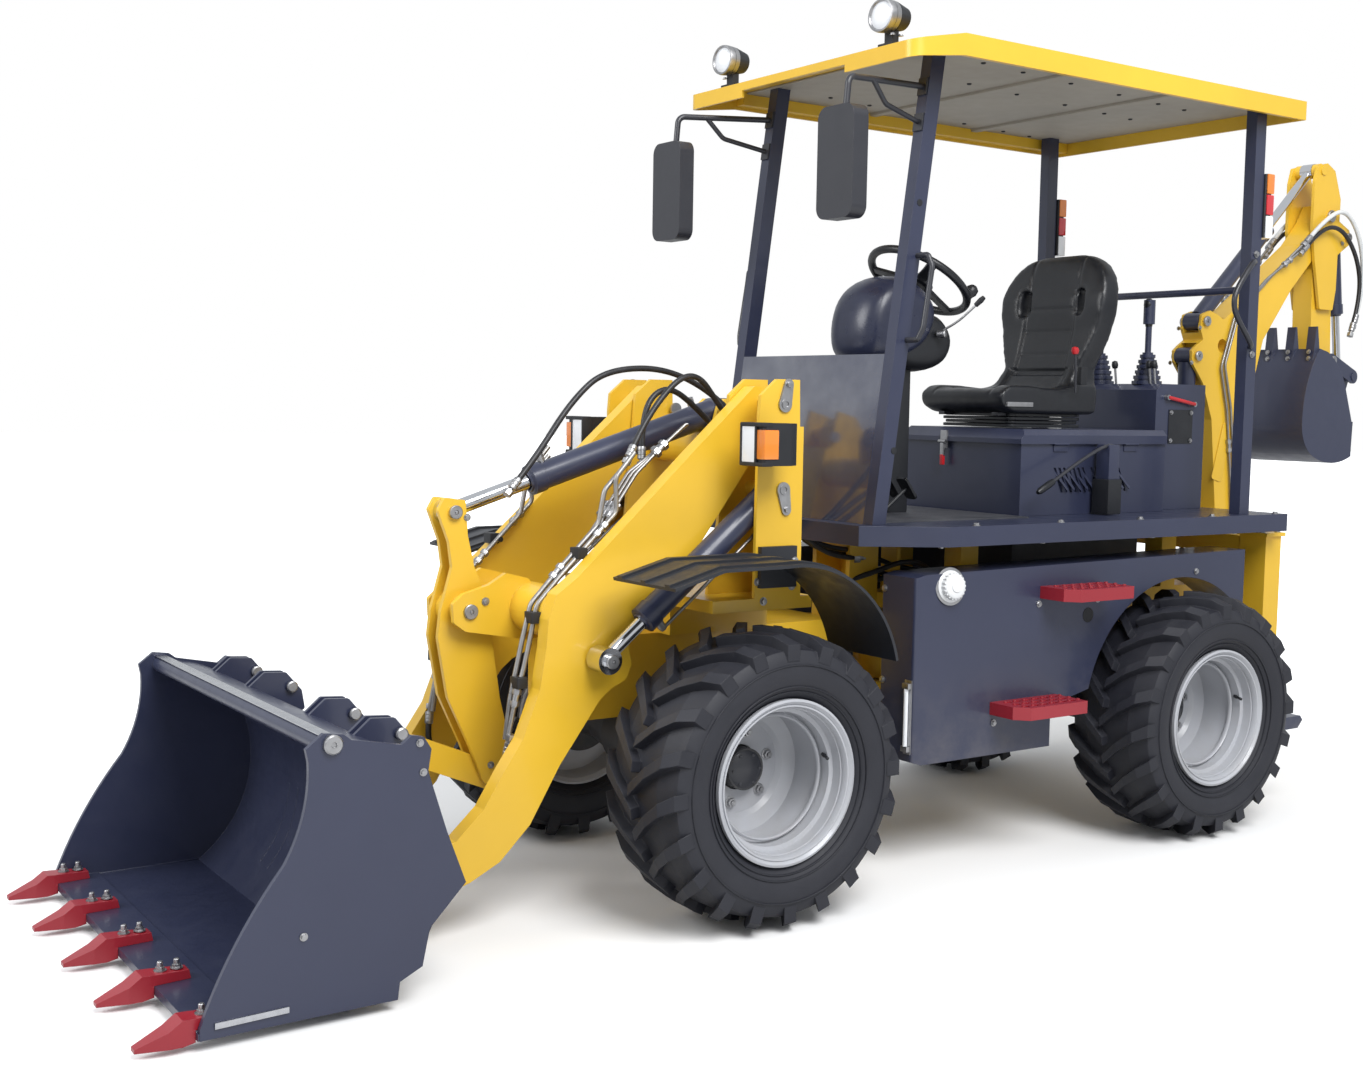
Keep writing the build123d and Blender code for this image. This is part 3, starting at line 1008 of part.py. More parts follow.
STICK_CHEEK = rear(
    (-1496, 2773), (-1566, 2790), (-1626, 2760), (-1678, 2634), (-1674, 2216), (-1656, 2120), (-1556, 2120),
    (-1501, 2345), (-1475, 2480), (-1475, 2700)
)
STICK_BOX = rear(
    (-1522, 2300), (-1540, 2345), (-1676, 2345), (-1674, 2216), (-1690, 1936), (-1702, 1830), (-1722, 1740),
    (-1716, 1672),
    (-1691, 1655), (-1651, 1662), (-1626, 1700), (-1535, 1931)
)
with BuildPart() as stick:
    for s in (-1, 1):
        slab(STICK_CHEEK, span(s, CHEEK_Y), r=8)
        # boss and pin head of the rod's eye
        cross_pin(STICK_TAIL, 32, span(s, (EYE_HALF + SIDE_GAP, CHEEK_Y[0] + 1)))
        cross_pin(STICK_TAIL, CYL_PIN_R, span(s, (CHEEK_Y[1] - 1, CHEEK_Y[1] + 6)))
    slab(STICK_BOX, (-STICK_HALF, STICK_HALF))
    # filler between the two cheeks
    slab(rear((-1540, 2335), (-1671, 2335), (-1672, 2216), (-1656, 2140), (-1566, 2140)),
         (-CHEEK_Y[0] - 1, CHEEK_Y[0] + 1))
    cross_pin(STICK_PIN, BOOM_PIN_R, (-CHEEK_Y[1] - 6, CHEEK_Y[1] + 6))
    cross_pin(DIG_PIN, DIG_PIN_R + 2, (-STICK_HALF - 26, STICK_HALF + 26))
    # ears of the digging cylinder
    ear = rear((-1671, 2375), (-1671, 2535), (-1756, 2498), (-1774, 2463), (-1761, 2430))
    for s in (-1, 1):
        slab(ear, span(s, (42, CHEEK_Y[1])))
    cross_pin(DIG_CYL, DIG_PIN_R, (-CHEEK_Y[1] - 6, CHEEK_Y[1] + 6))
    cross_pin(ROCKER_PIN, DIG_PIN_R + PIN_GAP, (-CHEEK_Y[1] - 10, CHEEK_Y[1] + 10), mode=Mode.SUBTRACT)
save(stick.part, "stick")

ROCKER_Y = (STICK_HALF + 27, STICK_HALF + 39)    # one plate of the rocker
LINK_Y = (28, 46)                                # one plate of the digging link
DIG_EYE_HALF = 24                                # half width of the digging rod's eye
DIG_EAR_Y = (STICK_HALF + 4, STICK_HALF + 22)    # one ear of the digging bucket
with BuildPart() as dig_barrel:
    barrel(DIG_CYL, ROCKER_END, 0, 32, DIG_BARREL, 34, 42 - SIDE_GAP, DIG_PIN_R)
    barrel_bore(DIG_CYL, ROCKER_END, 0, DIG_ROD_R, 48, DIG_BARREL)
save(dig_barrel.part, "dig_barrel")
with BuildPart() as dig_rod:
    piston_rod(DIG_CYL, ROCKER_END, 0, DIG_ROD_R, 330, 30, DIG_EYE_HALF)
save(dig_rod.part, "dig_rod")

with BuildPart() as rocker:
    for s in (-1, 1):
        strap(ROCKER_PIN, ROCKER_END, STRAP_R, span(s, ROCKER_Y))
        # half pin that carries the link, beside the rod's eye
        cross_pin(ROCKER_END, DIG_PIN_R, span(s, (DIG_EYE_HALF + SIDE_GAP, ROCKER_Y[1] + 5)))
    cross_pin(ROCKER_PIN, DIG_PIN_R, (-ROCKER_Y[1] - 5, ROCKER_Y[1] + 5))
save(rocker.part, "dig_rocker")

with BuildPart() as dig_link:
    for s in (-1, 1):
        strap(ROCKER_END, DIG_LINK_PIN, STRAP_R - 2, span(s, LINK_Y))
    cross_pin(ROCKER_END, DIG_PIN_R + PIN_GAP, (-LINK_Y[1] - 1, LINK_Y[1] + 1), mode=Mode.SUBTRACT)
    # its own pin, between the bucket's ears
    cross_pin(DIG_LINK_PIN, DIG_PIN_R, (-DIG_EAR_Y[0] + GAP, DIG_EAR_Y[0] - GAP))
save(dig_link.part, "dig_link")

DIG_SHEET_T = 14
with BuildLine() as dig_curve:
    # outer face, from the back round the heel to the lip
    Line(*rear((-1678, 1600), (-1671, 1440)))
    ThreePointArc(*rear((-1671, 1440), (-1514, 1409), (-1367, 1447)))
    ThreePointArc(*rear((-1367, 1447), (-1311, 1505), (-1289, 1583)))
    ThreePointArc(*rear((-1289, 1583), (-1311, 1760), (-1396, 1930)))
with BuildPart() as dig_bucket:
    for s in (-1, 1):
        side_y = span(s, (DIG_HALF - 12, DIG_HALF))
        with BuildSketch(at_y(side_y[1])) as sk:
            with BuildLine():
                Line(*rear((-1396, 1930), (-1456, 1917)))
                ThreePointArc(*rear((-1456, 1917), (-1546, 1850), (-1609, 1747)))
                Line(*rear((-1609, 1747), (-1666, 1600)))
                Line(*rear((-1666, 1600), (-1671, 1440)))
                ThreePointArc(*rear((-1671, 1440), (-1514, 1409), (-1367, 1447)))
                ThreePointArc(*rear((-1367, 1447), (-1311, 1505), (-1289, 1583)))
                ThreePointArc(*rear((-1289, 1583), (-1311, 1760), (-1396, 1930)))
            make_face()
        extrude(amount=12)
        slab(rear((-1616, 1740), (-1666, 1752), (-1728, 1722), (-1796, 1600), (-1798, 1500), (-1746, 1430),
                    (-1666, 1425), (-1606, 1420)), span(s, DIG_EAR_Y), r=8)
        bore_y = span(s, (DIG_EAR_Y[0] - 3, DIG_EAR_Y[1] + 3))
        cross_pin(DIG_PIN, DIG_PIN_R + 2 + PIN_GAP, bore_y, mode=Mode.SUBTRACT)
        cross_pin(DIG_LINK_PIN, DIG_PIN_R, span(s, (DIG_EAR_Y[1] - 1, DIG_EAR_Y[1] + 6)))
    # bent sheet between the sides
    ribbon(dig_curve.line, 0, DIG_SHEET_T, (-DIG_HALF + 2, DIG_HALF - 2))
    # four teeth: shank on the lip, and a point that narrows
    tooth = rear((-1392, 2030), (-1382, 2030), (-1368, 1905), (-1358, 1862), (-1384, 1850), (-1414, 1905))
    for k in range(4):
        y = (k - 1.5) * DIG_TOOTH_PITCH
        slab(tooth, (y - 22, y + 22))
save(dig_bucket.part, "dig_bucket")

print(len(done), "pieces")
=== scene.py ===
"""Finish, fittings, hoses and stage of a compact articulated backhoe loader.

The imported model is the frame, and lengths are metres.  Places are told from the
frame's joints and pieces; spot() gives a point in millimetres from the
articulation pin between the front and the rear frame.
"""

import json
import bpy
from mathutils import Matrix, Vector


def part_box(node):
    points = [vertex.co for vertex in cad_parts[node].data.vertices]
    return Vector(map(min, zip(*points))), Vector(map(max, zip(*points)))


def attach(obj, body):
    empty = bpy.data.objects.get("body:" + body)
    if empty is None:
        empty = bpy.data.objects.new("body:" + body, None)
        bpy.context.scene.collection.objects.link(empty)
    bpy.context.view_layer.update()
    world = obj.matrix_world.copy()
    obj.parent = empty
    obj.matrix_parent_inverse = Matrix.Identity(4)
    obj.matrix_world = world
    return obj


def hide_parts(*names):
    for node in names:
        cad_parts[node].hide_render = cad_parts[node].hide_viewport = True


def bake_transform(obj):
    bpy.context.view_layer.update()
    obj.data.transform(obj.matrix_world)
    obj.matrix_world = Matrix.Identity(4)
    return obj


bl_info = {
    "name": "Backhoe loader dressing",
    "version": (1, 0, 0),
    "blender": (4, 5, 0),
    "location": "3D View > Sidebar > Loader",
    "description": "Adds paint, hoses, fittings, seat, lamps and a stage to the loader",
    "category": "Object",
}

from math import cos, pi, radians, sin

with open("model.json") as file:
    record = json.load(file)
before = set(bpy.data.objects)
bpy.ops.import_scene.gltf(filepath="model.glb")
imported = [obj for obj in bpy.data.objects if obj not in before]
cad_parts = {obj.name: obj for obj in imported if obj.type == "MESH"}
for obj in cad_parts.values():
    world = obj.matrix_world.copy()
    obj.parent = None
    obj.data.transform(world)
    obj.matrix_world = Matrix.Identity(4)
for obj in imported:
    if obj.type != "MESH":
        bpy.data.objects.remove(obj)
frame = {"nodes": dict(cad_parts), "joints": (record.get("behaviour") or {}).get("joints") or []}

import bmesh
import bpy
from bpy.props import FloatProperty, FloatVectorProperty, IntProperty, PointerProperty
from mathutils import Matrix, Vector, noise

NODES = frame["nodes"]
JOINTS = {joint["name"]: joint for joint in frame["joints"]}
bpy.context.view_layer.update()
MM = 0.001
SIDES = (1, -1)
LABELS = {1: "left", -1: "right"}
PINS = {name: Vector(joint["pos_m"]) for name, joint in JOINTS.items() if "pos_m" in joint}
HINGE_X = PINS["articulation"].x


def spot(x, y, z):
    """Point in metres from millimetres: x forward of the articulation pin, y to the left, z above ground."""
    return Vector((HINGE_X + x * MM, y * MM, z * MM))


# ---------------------------------------------------------------- sizes and colours
class PaintSettings(bpy.types.PropertyGroup):
    """Colours of the machine's paints and plastics."""

    slate: FloatVectorProperty(name="Slate", description="Blue-grey paint of frame and bucket", subtype="COLOR",
                               default=(0.025, 0.030, 0.062), min=0, max=1)
    yellow: FloatVectorProperty(name="Yellow", description="Paint of the loader and digging arms", subtype="COLOR",
                                default=(0.720, 0.440, 0.028), min=0, max=1)
    red: FloatVectorProperty(name="Red", description="Paint of steps and bucket teeth", subtype="COLOR",
                             default=(0.270, 0.010, 0.020), min=0, max=1)
    silver: FloatVectorProperty(name="Silver", description="Paint of the wheel rims", subtype="COLOR",
                                default=(0.400, 0.410, 0.440), min=0, max=1)
    rubber: FloatVectorProperty(name="Rubber", description="Tyre rubber", subtype="COLOR",
                                default=(0.011, 0.012, 0.020), min=0, max=1)
    black: FloatVectorProperty(name="Black", description="Moulded plastic and vinyl", subtype="COLOR",
                               default=(0.008, 0.009, 0.012), min=0, max=1)
    edge_wear: FloatProperty(name="Edge wear", description="How much the paint is rubbed along edges",
                             default=0.25, min=0, max=1, subtype="FACTOR")


class HoseSettings(bpy.types.PropertyGroup):
    """Sizes of the hydraulic hoses and pipes."""

    hose: FloatProperty(name="Hose", description="Outer diameter of a pressure hose", default=0.020,
                        min=0.006, max=0.05, unit="LENGTH")
    pipe: FloatProperty(name="Pipe", description="Outer diameter of a steel pipe", default=0.016,
                        min=0.006, max=0.05, unit="LENGTH")
    wire: FloatProperty(name="Thin hose", description="Outer diameter of a pilot hose", default=0.012,
                        min=0.004, max=0.03, unit="LENGTH")


class SeatSettings(bpy.types.PropertyGroup):
    """Softness and seams of the driver's seat."""

    voxel: FloatProperty(name="Grain", description="Edge length of the seat's remeshed cells", default=0.009,
                         min=0.004, max=0.02, unit="LENGTH")
    smoothing: IntProperty(name="Softness", description="Smoothing passes over the foam", default=14, min=0, max=60)
    panel_depth: FloatProperty(name="Panel depth", description="How far the middle panel is drawn in", default=0.012,
                               min=0, max=0.03, unit="LENGTH")


class StageSettings(bpy.types.PropertyGroup):
    """Camera, lamps and floor."""

    lens: FloatProperty(name="Lens", description="Focal length of the camera", default=42.504, min=10, max=200,
                        unit="CAMERA")
    key_power: FloatProperty(name="Key", description="Power of the large lamp over the front left", default=900,
                             min=0, max=5000, unit="POWER")
    sky: FloatProperty(name="Sky", description="Strength of the light from all round", default=0.72, min=0, max=3)
    floor_size: FloatProperty(name="Floor", description="Edge length of the floor", default=120, min=10, max=500,
                              unit="LENGTH")


def settings():
    return bpy.context.scene.loader_dressing


# ---------------------------------------------------------------- materials
class Nodes:
    """Builds one node tree: each call adds a node and returns its output."""

    def __init__(self, name):
        self.material = bpy.data.materials.new(name)
        self.material.use_nodes = True
        self.tree = self.material.node_tree
        self.shader = self.tree.nodes["Principled BSDF"]
        self.place = self.tree.nodes.new("ShaderNodeTexCoord").outputs["Object"]

    def add(self, kind, inputs=None, output=0, **values):
        node = self.tree.nodes.new(kind)
        for key, value in values.items():
            setattr(node, key, value)
        for key, value in (inputs or {}).items():
            self.feed(node.inputs[key], value)
        return node.outputs[output]

    def feed(self, socket, value):
        if isinstance(value, bpy.types.NodeSocket):
            self.tree.links.new(value, socket)
        else:
            socket.default_value = value

    def noise(self, scale, detail=3, roughness=0.55):
        inputs = {"Vector": self.place, "Scale": scale, "Detail": detail, "Roughness": roughness}
        return self.add("ShaderNodeTexNoise", inputs)

    def cells(self, scale, feature="F1", output="Distance"):
        inputs = {"Vector": self.place, "Scale": scale}
        return self.add("ShaderNodeTexVoronoi", inputs, output, feature=feature)

    def spread(self, value, low, high, to_low=0.0, to_high=1.0):
        inputs = {"Value": value, "From Min": low, "From Max": high, "To Min": to_low, "To Max": to_high}
        return self.add("ShaderNodeMapRange", inputs)

    def mix(self, factor, first, second, blend="MIX"):
        inputs = {"Factor": factor, 6: first, 7: second}
        return self.add("ShaderNodeMix", inputs, 2, data_type="RGBA", blend_type=blend)

    def math(self, operation, first, second):
        return self.add("ShaderNodeMath", {0: first, 1: second}, operation=operation)

    def bump(self, height, strength, distance, normal=None):
        inputs = {"Height": height, "Strength": strength, "Distance": distance}
        if normal is not None:
            inputs["Normal"] = normal
        return self.add("ShaderNodeBump", inputs)

    def set(self, **values):
        for key, value in values.items():
            self.feed(self.shader.inputs[key.replace("_", " ")], value)
        return self.material


def rgb(colour, scale=1.0):
    return (*[channel * scale for channel in colour], 1.0)


def soft_edges(nodes, radius=0.002):
    """Normal rounded over sharp edges, as pressed and welded plate has them."""
    return nodes.add("ShaderNodeBevel", {"Radius": radius}, samples=4)


def low_dust(nodes, colour, height=0.75, amount=0.35, tint=(0.30, 0.27, 0.23)):
    """Colour with a thin film of dust that thins out with height."""
    z = nodes.add("ShaderNodeSeparateXYZ", {0: nodes.place}, "Z")
    low = nodes.spread(z, height, 0.0, 0.0, amount)
    patch = nodes.spread(nodes.noise(7, 6, 0.65), 0.42, 0.68)
    return nodes.mix(nodes.math("MULTIPLY", low, patch), colour, rgb(tint))


def painted(name, colour, roughness=0.34, dusty=False, coat=0.25):
    """Sprayed enamel: fine orange peel, uneven gloss, rubbed edges and a little road film."""
    nodes = Nodes(name)
    edge = soft_edges(nodes)
    flat = nodes.add("ShaderNodeNewGeometry", output="Normal")
    turn = nodes.add("ShaderNodeVectorMath", {0: edge, 1: flat}, "Value", operation="DOT_PRODUCT")
    scuff = nodes.spread(nodes.noise(90, 5, 0.7), 0.50, 0.62)
    worn = nodes.math("MULTIPLY", nodes.spread(turn, 0.985, 0.90, 0.0, settings().paint.edge_wear), scuff)
    shade = nodes.mix(nodes.spread(nodes.noise(2.2, 4), 0.3, 0.7), rgb(colour, 0.93), rgb(colour, 1.05))
    shade = nodes.mix(worn, shade, rgb([0.5 * channel + 0.16 for channel in colour]))
    if dusty:
        shade = low_dust(nodes, shade)
    smear = nodes.spread(nodes.noise(14, 6, 0.6), 0.3, 0.75, roughness - 0.06, roughness + 0.12)
    nodes.set(Base_Color=shade, Roughness=smear, Normal=nodes.bump(nodes.noise(420, 2), 0.05, 0.0006, edge))
    return nodes.set(Coat_Weight=coat, Coat_Roughness=0.12)


def polished(name, colour):
    """Glossy enamel under a thick lacquer that mirrors its surroundings in soft patches."""
    nodes = Nodes(name)
    cloud = nodes.spread(nodes.noise(1.6, 6, 0.6), 0.40, 0.62, 0.25, 1.0)
    nodes.set(Base_Color=rgb(colour), Roughness=0.25, Coat_IOR=2.6, Coat_Roughness=0.08)
    return nodes.set(Coat_Weight=cloud)


def plain_metal(name, colour, roughness, scratch=260, strength=0.12):
    """Bare or plated steel with fine turning marks and stains."""
    nodes = Nodes(name)
    stain = nodes.spread(nodes.noise(38, 5), 0.3, 0.7)
    nodes.set(Base_Color=nodes.mix(stain, rgb(colour, 0.82), rgb(colour)))
    nodes.set(Roughness=nodes.spread(nodes.noise(120, 4), 0.3, 0.7, roughness - 0.05, roughness + 0.12))
    return nodes.set(Metallic=1.0, Normal=nodes.bump(nodes.noise(scratch, 3), strength, 0.0004))


def moulded(name, colour, roughness=0.5, grain=700, strength=0.25, sheen=0.0):
    """Moulded plastic or vinyl with a fine pebble grain."""
    nodes = Nodes(name)
    shade = nodes.mix(nodes.spread(nodes.noise(5, 4), 0.3, 0.7), rgb(colour, 0.85), rgb(colour, 1.2))
    nodes.set(Base_Color=shade, Normal=nodes.bump(nodes.cells(grain), strength, 0.0005, soft_edges(nodes, 0.0015)))
    return nodes.set(Roughness=nodes.spread(nodes.noise(18, 5), 0.3, 0.7, roughness - 0.06, roughness + 0.1),
                     Sheen_Weight=sheen)


def tyre_rubber():
    """Dry tyre rubber with moulding grain, a grey bloom and dust in the tread."""
    nodes = Nodes("tyre_rubber_dry")
    colour = settings().paint.rubber
    bloom = nodes.spread(nodes.noise(6, 6, 0.65), 0.35, 0.7)
    shade = nodes.mix(bloom, rgb(colour, 0.8), rgb([0.9 * channel + 0.007 for channel in colour]))
    shade = low_dust(nodes, shade, 0.5, 0.14, (0.055, 0.058, 0.070))
    grain = nodes.bump(nodes.noise(160, 5, 0.7), 0.3, 0.0012, soft_edges(nodes, 0.004))
    return nodes.set(Base_Color=shade, Normal=grain, Roughness=nodes.spread(bloom, 0, 1, 0.52, 0.72))


def hose_rubber():
    """Wrapped hydraulic hose: fine bands round a black cover."""
    nodes = Nodes("hose_rubber_wrapped")
    wrap = nodes.add("ShaderNodeTexWave", {"Vector": nodes.place, "Scale": 90, "Distortion": 1.5, "Detail": 2})
    shade = nodes.mix(nodes.spread(nodes.noise(20, 4), 0.3, 0.7), (0.009, 0.009, 0.011, 1), (0.020, 0.020, 0.023, 1))
    return nodes.set(Base_Color=shade, Roughness=0.42, Normal=nodes.bump(wrap, 0.12, 0.0006))


def chrome_rod():
    """Hard-chromed piston rod with a film of oil."""
    nodes = Nodes("rod_chrome_oiled")
    film = nodes.spread(nodes.noise(30, 4), 0.35, 0.7, 0.06, 0.16)
    nodes.set(Base_Color=nodes.mix(nodes.noise(9, 3), (0.62, 0.63, 0.66, 1), (0.74, 0.75, 0.77, 1)))
    return nodes.set(Metallic=1.0, Roughness=film, Normal=nodes.bump(nodes.noise(520, 2), 0.02, 0.0003))


def lens(name, colour, ribs=900, painted_glow=0.0):
    """Lamp lens of clear or tinted plastic with fine upright flutes, and painted light: a faint emission on lenses and
    gauge glass that are not lit.
    """
    nodes = Nodes(name)
    flutes = nodes.add("ShaderNodeTexWave", {"Vector": nodes.place, "Scale": ribs / 12, "Distortion": 0.3},
                       bands_direction="Y")
    shade = nodes.mix(flutes, rgb(colour, 0.82), rgb(colour))
    nodes.set(Base_Color=shade, Normal=nodes.bump(flutes, 0.5, 0.0012), Roughness=0.12)
    # painted light: the lens gives off a little light of its own colour, though its lamp is not on
    nodes.set(Emission_Color=shade, Coat_Weight=1.0, Coat_Roughness=0.03)
    return nodes.set(Emission_Strength=painted_glow)


def floor_mat():
    """Ribbed rubber mat on the platform."""
    nodes = Nodes("floor_mat_ribbed")
    studs = nodes.cells(60)
    shade = nodes.mix(nodes.spread(nodes.noise(9, 5), 0.35, 0.7), (0.030, 0.032, 0.040, 1), (0.060, 0.062, 0.072, 1))
    return nodes.set(Base_Color=shade, Roughness=0.6, Normal=nodes.bump(studs, 0.6, 0.002))


def paint_set():
    """All the finishes of the machine, by a short name."""
    paint = settings().paint
    return {
        "slate": painted("slate_enamel", paint.slate),
        "slate_low": painted("slate_enamel_dusty", paint.slate, 0.38, dusty=True),
        "gloss": polished("slate_enamel_gloss", [1.1 * channel + 0.01 for channel in paint.slate]),
        "yellow": painted("yellow_enamel", paint.yellow, 0.36),
        "red": painted("red_enamel", paint.red, 0.38),
        "silver": painted("silver_enamel", paint.silver, 0.36, dusty=True),
        "soot": painted("black_enamel", (0.020, 0.021, 0.028), 0.42),
        "cream": painted("cream_lining", (0.34, 0.31, 0.26), 0.6, coat=0.0),
        "white": painted("white_enamel", (0.72, 0.73, 0.74), 0.4),
        "iron": painted("axle_iron", (0.026, 0.027, 0.031), 0.55, dusty=True, coat=0.0),
        "tyre": tyre_rubber(),
        "hose": hose_rubber(),
        "chrome": chrome_rod(),
        "zinc": plain_metal("zinc_plate", (0.44, 0.44, 0.45), 0.36),
        "steel": plain_metal("steel_pipe", (0.36, 0.35, 0.34), 0.42),
        # bright steel: real wear on the side wear plates, a painted highlight on the bucket's top edge
        "bright": plain_metal("bright_steel_wear_and_highlight", (0.60, 0.61, 0.64), 0.26, 180, 0.2),
        "glass": plain_metal("mirror_glass", (0.85, 0.87, 0.9), 0.05, 40, 0.01),
        "plastic": moulded("black_moulding", paint.black),
        "vinyl": moulded("black_vinyl", paint.black, 0.34, 1100, 0.2),
        "mudguard": moulded("mudguard_plastic", [1.8 * channel for channel in paint.black], 0.40, 420, 0.12),
        "hood": moulded("slate_moulding", [0.75 * channel for channel in paint.slate], 0.30, 900, 0.08),
        "red_plastic": moulded("red_moulding", (0.45, 0.012, 0.018), 0.35),
        # lenses: faint painted light of their own, an emission though no lamp is on
        "clear": lens("lens_clear", (0.80, 0.82, 0.85), painted_glow=0.12),
        "amber": lens("lens_amber", (0.72, 0.20, 0.015), painted_glow=0.10),
        "ruby": lens("lens_red", (0.55, 0.012, 0.020), painted_glow=0.10),
        "sleeve": moulded("clear_spiral_sleeve", (0.55, 0.56, 0.56), 0.3, 300),
        "mat": floor_mat(),
    }


FINISHES = {}


def finish(name):
    if not FINISHES:
        FINISHES.update(paint_set())
    return FINISHES[name]


# ---------------------------------------------------------------- shapes
def place_on(obj, finish_name, body):
    """Gives a piece its finish and lets it move with a body of the frame."""
    obj.data.materials.append(finish(finish_name))
    bpy.context.scene.collection.objects.link(obj)
    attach(obj, body)
    return obj


def mesh_data(name, mesh):
    """Mesh data from a bmesh, which is freed."""
    data = bpy.data.meshes.new(name)
    mesh.to_mesh(data)
    mesh.free()
    return data


def piece(name, mesh, finish_name="zinc", body="rear_frame", smooth=30):
    """Mesh object from a bmesh, shaded smooth under an angle in degrees."""
    bmesh.ops.recalc_face_normals(mesh, faces=mesh.faces)
    data = mesh_data(name, mesh)
    data.shade_smooth()
    data.set_sharp_from_angle(angle=radians(smooth))
    return place_on(bpy.data.objects.new(name, data), finish_name, body)


def linked(name, data):
    """Object with the data, in the scene."""
    obj = bpy.data.objects.new(name, data)
    bpy.context.scene.collection.objects.link(obj)
    return obj


def copy_of(node):
    """Bmesh of a piece of the frame, in the frame's own axes."""
    mesh = bmesh.new()
    mesh.from_mesh(NODES[node].data)
    mesh.transform(NODES[node].matrix_world)
    return mesh


def evaluated(obj):
    """Mesh of an object after its modifiers, or of a curve after its bevel."""
    bpy.context.view_layer.update()
    return bpy.data.meshes.new_from_object(obj.evaluated_get(bpy.context.evaluated_depsgraph_get()))


def settle(obj):
    """Turns an object's modifiers into its mesh."""
    data = evaluated(obj)
    obj.modifiers.clear()
    obj.data = data


def coat(obj, finish_name):
    """Gives an object one finish, in place of what its mesh came with."""
    obj.data.materials.clear()
    obj.data.materials.append(finish(finish_name))


def shaped(shape, *values):
    """Bmesh that holds one shape: shape is a function below that adds to a bmesh."""
    mesh = bmesh.new()
    shape(mesh, *values)
    return mesh


def looking(direction, at, roll=0.0):
    """Matrix that turns local Z to a direction and moves the origin to a point."""
    turn = Vector(direction).normalized().to_track_quat("Z", "Y").to_matrix().to_4x4()
    return Matrix.Translation(at) @ turn @ Matrix.Rotation(roll, 4, "Z")


def axes_at(x, y, z, at):
    """Matrix from three directions and an origin."""
    matrix = Matrix((x, y, z)).transposed().to_4x4()
    matrix.translation = at
    return matrix


def turned(mesh, profile, matrix, steps=24):
    """Adds a turned solid: profile holds (radius, height) pairs, from one end of the axis to the other."""
    rings = []
    for radius, height in profile:
        if radius < 1e-6:
            rings.append([mesh.verts.new(matrix @ Vector((0, 0, height)))])
            continue
        angles = [2 * pi * k / steps for k in range(steps)]
        points = [Vector((radius * cos(angle), radius * sin(angle), height)) for angle in angles]
        rings.append([mesh.verts.new(matrix @ point) for point in points])
    for low, high in zip(rings, rings[1:]):
        for k in range(steps):
            corners = [low[k % len(low)], low[(k + 1) % len(low)], high[(k + 1) % len(high)], high[k % len(high)]]
            unique = list(dict.fromkeys(corners))
            if len(unique) > 2:
                mesh.faces.new(unique)
    for end in (rings[0], rings[-1]):
        if len(end) > 2:
            mesh.faces.new(end)


def sheet_metal(mesh, outline, thickness, matrix, bevel=0.0):
    """Adds a flat plate: outline is a list of (x, y) in metres, extruded along local Z."""
    base = [mesh.verts.new(matrix @ Vector((x, y, 0))) for x, y in outline]
    top = [mesh.verts.new(matrix @ Vector((x, y, thickness))) for x, y in outline]
    faces = [mesh.faces.new(base), mesh.faces.new(top)]
    for k in range(len(outline)):
        n = (k + 1) % len(outline)
        faces.append(mesh.faces.new((base[k], base[n], top[n], top[k])))
    if bevel:
        edges = list(dict.fromkeys(edge for face in faces for edge in face.edges))
        bmesh.ops.bevel(mesh, geom=edges, offset=bevel, segments=2, affect="EDGES", profile=0.7)


def rounded(width, height, radius, steps=5):
    """Rounded rectangle about the origin, as (x, y) pairs."""
    points = []
    for k, (sx, sy) in enumerate(((1, 1), (-1, 1), (-1, -1), (1, -1))):
        for step in range(steps + 1):
            angle = (k + step / steps) * pi / 2
            x = sx * (width / 2 - radius) + radius * cos(angle)
            y = sy * (height / 2 - radius) + radius * sin(angle)
            points.append((x, y))
    return points


def case(mesh, low, high, bevel=0.003):
    """Adds a box between two corners, with rounded edges."""
    size = Vector(high) - Vector(low)
    outline = [(0, 0), (size.x, 0), (size.x, size.y), (0, size.y)]
    sheet_metal(mesh, outline, size.z, Matrix.Translation(low), bevel)


def hexagon(radius):
    return [(radius * cos(k * pi / 3), radius * sin(k * pi / 3)) for k in range(6)]


def bolt(mesh, at, direction, width=0.019, washer=True):
    """Adds a hexagon bolt head on its washer."""
    matrix = looking(direction, at, at.x * 40)
    reach = 0.0
    if washer:
        turned(mesh, [(0, 0), (width * 0.78, 0), (width * 0.78, 0.0025), (0, 0.0025)], matrix, 20)
        reach = 0.0022
    head = matrix @ Matrix.Translation((0, 0, reach))
    sheet_metal(mesh, hexagon(width * 0.56), width * 0.42, head, width * 0.06)


def bolts(name, places, body, finish_name="zinc", width=0.019):
    """One piece of like bolts: places holds (point, direction) pairs."""
    mesh = bmesh.new()
    for at, direction in places:
        bolt(mesh, at, direction, width)
    return piece(name, mesh, finish_name, body, 30)


def pin_end(mesh, at, direction, radius=0.024):
    """Adds the end of a greased hinge pin: chamfered face, dimple and grease nipple."""
    profile = [(0, -0.002), (radius, -0.002), (radius, 0.008), (radius * 0.9, 0.010), (radius * 0.35, 0.010),
               (radius * 0.30, 0.007), (0.004, 0.007), (0.004, 0.013), (0, 0.014)]
    turned(mesh, profile, looking(direction, at), 28)


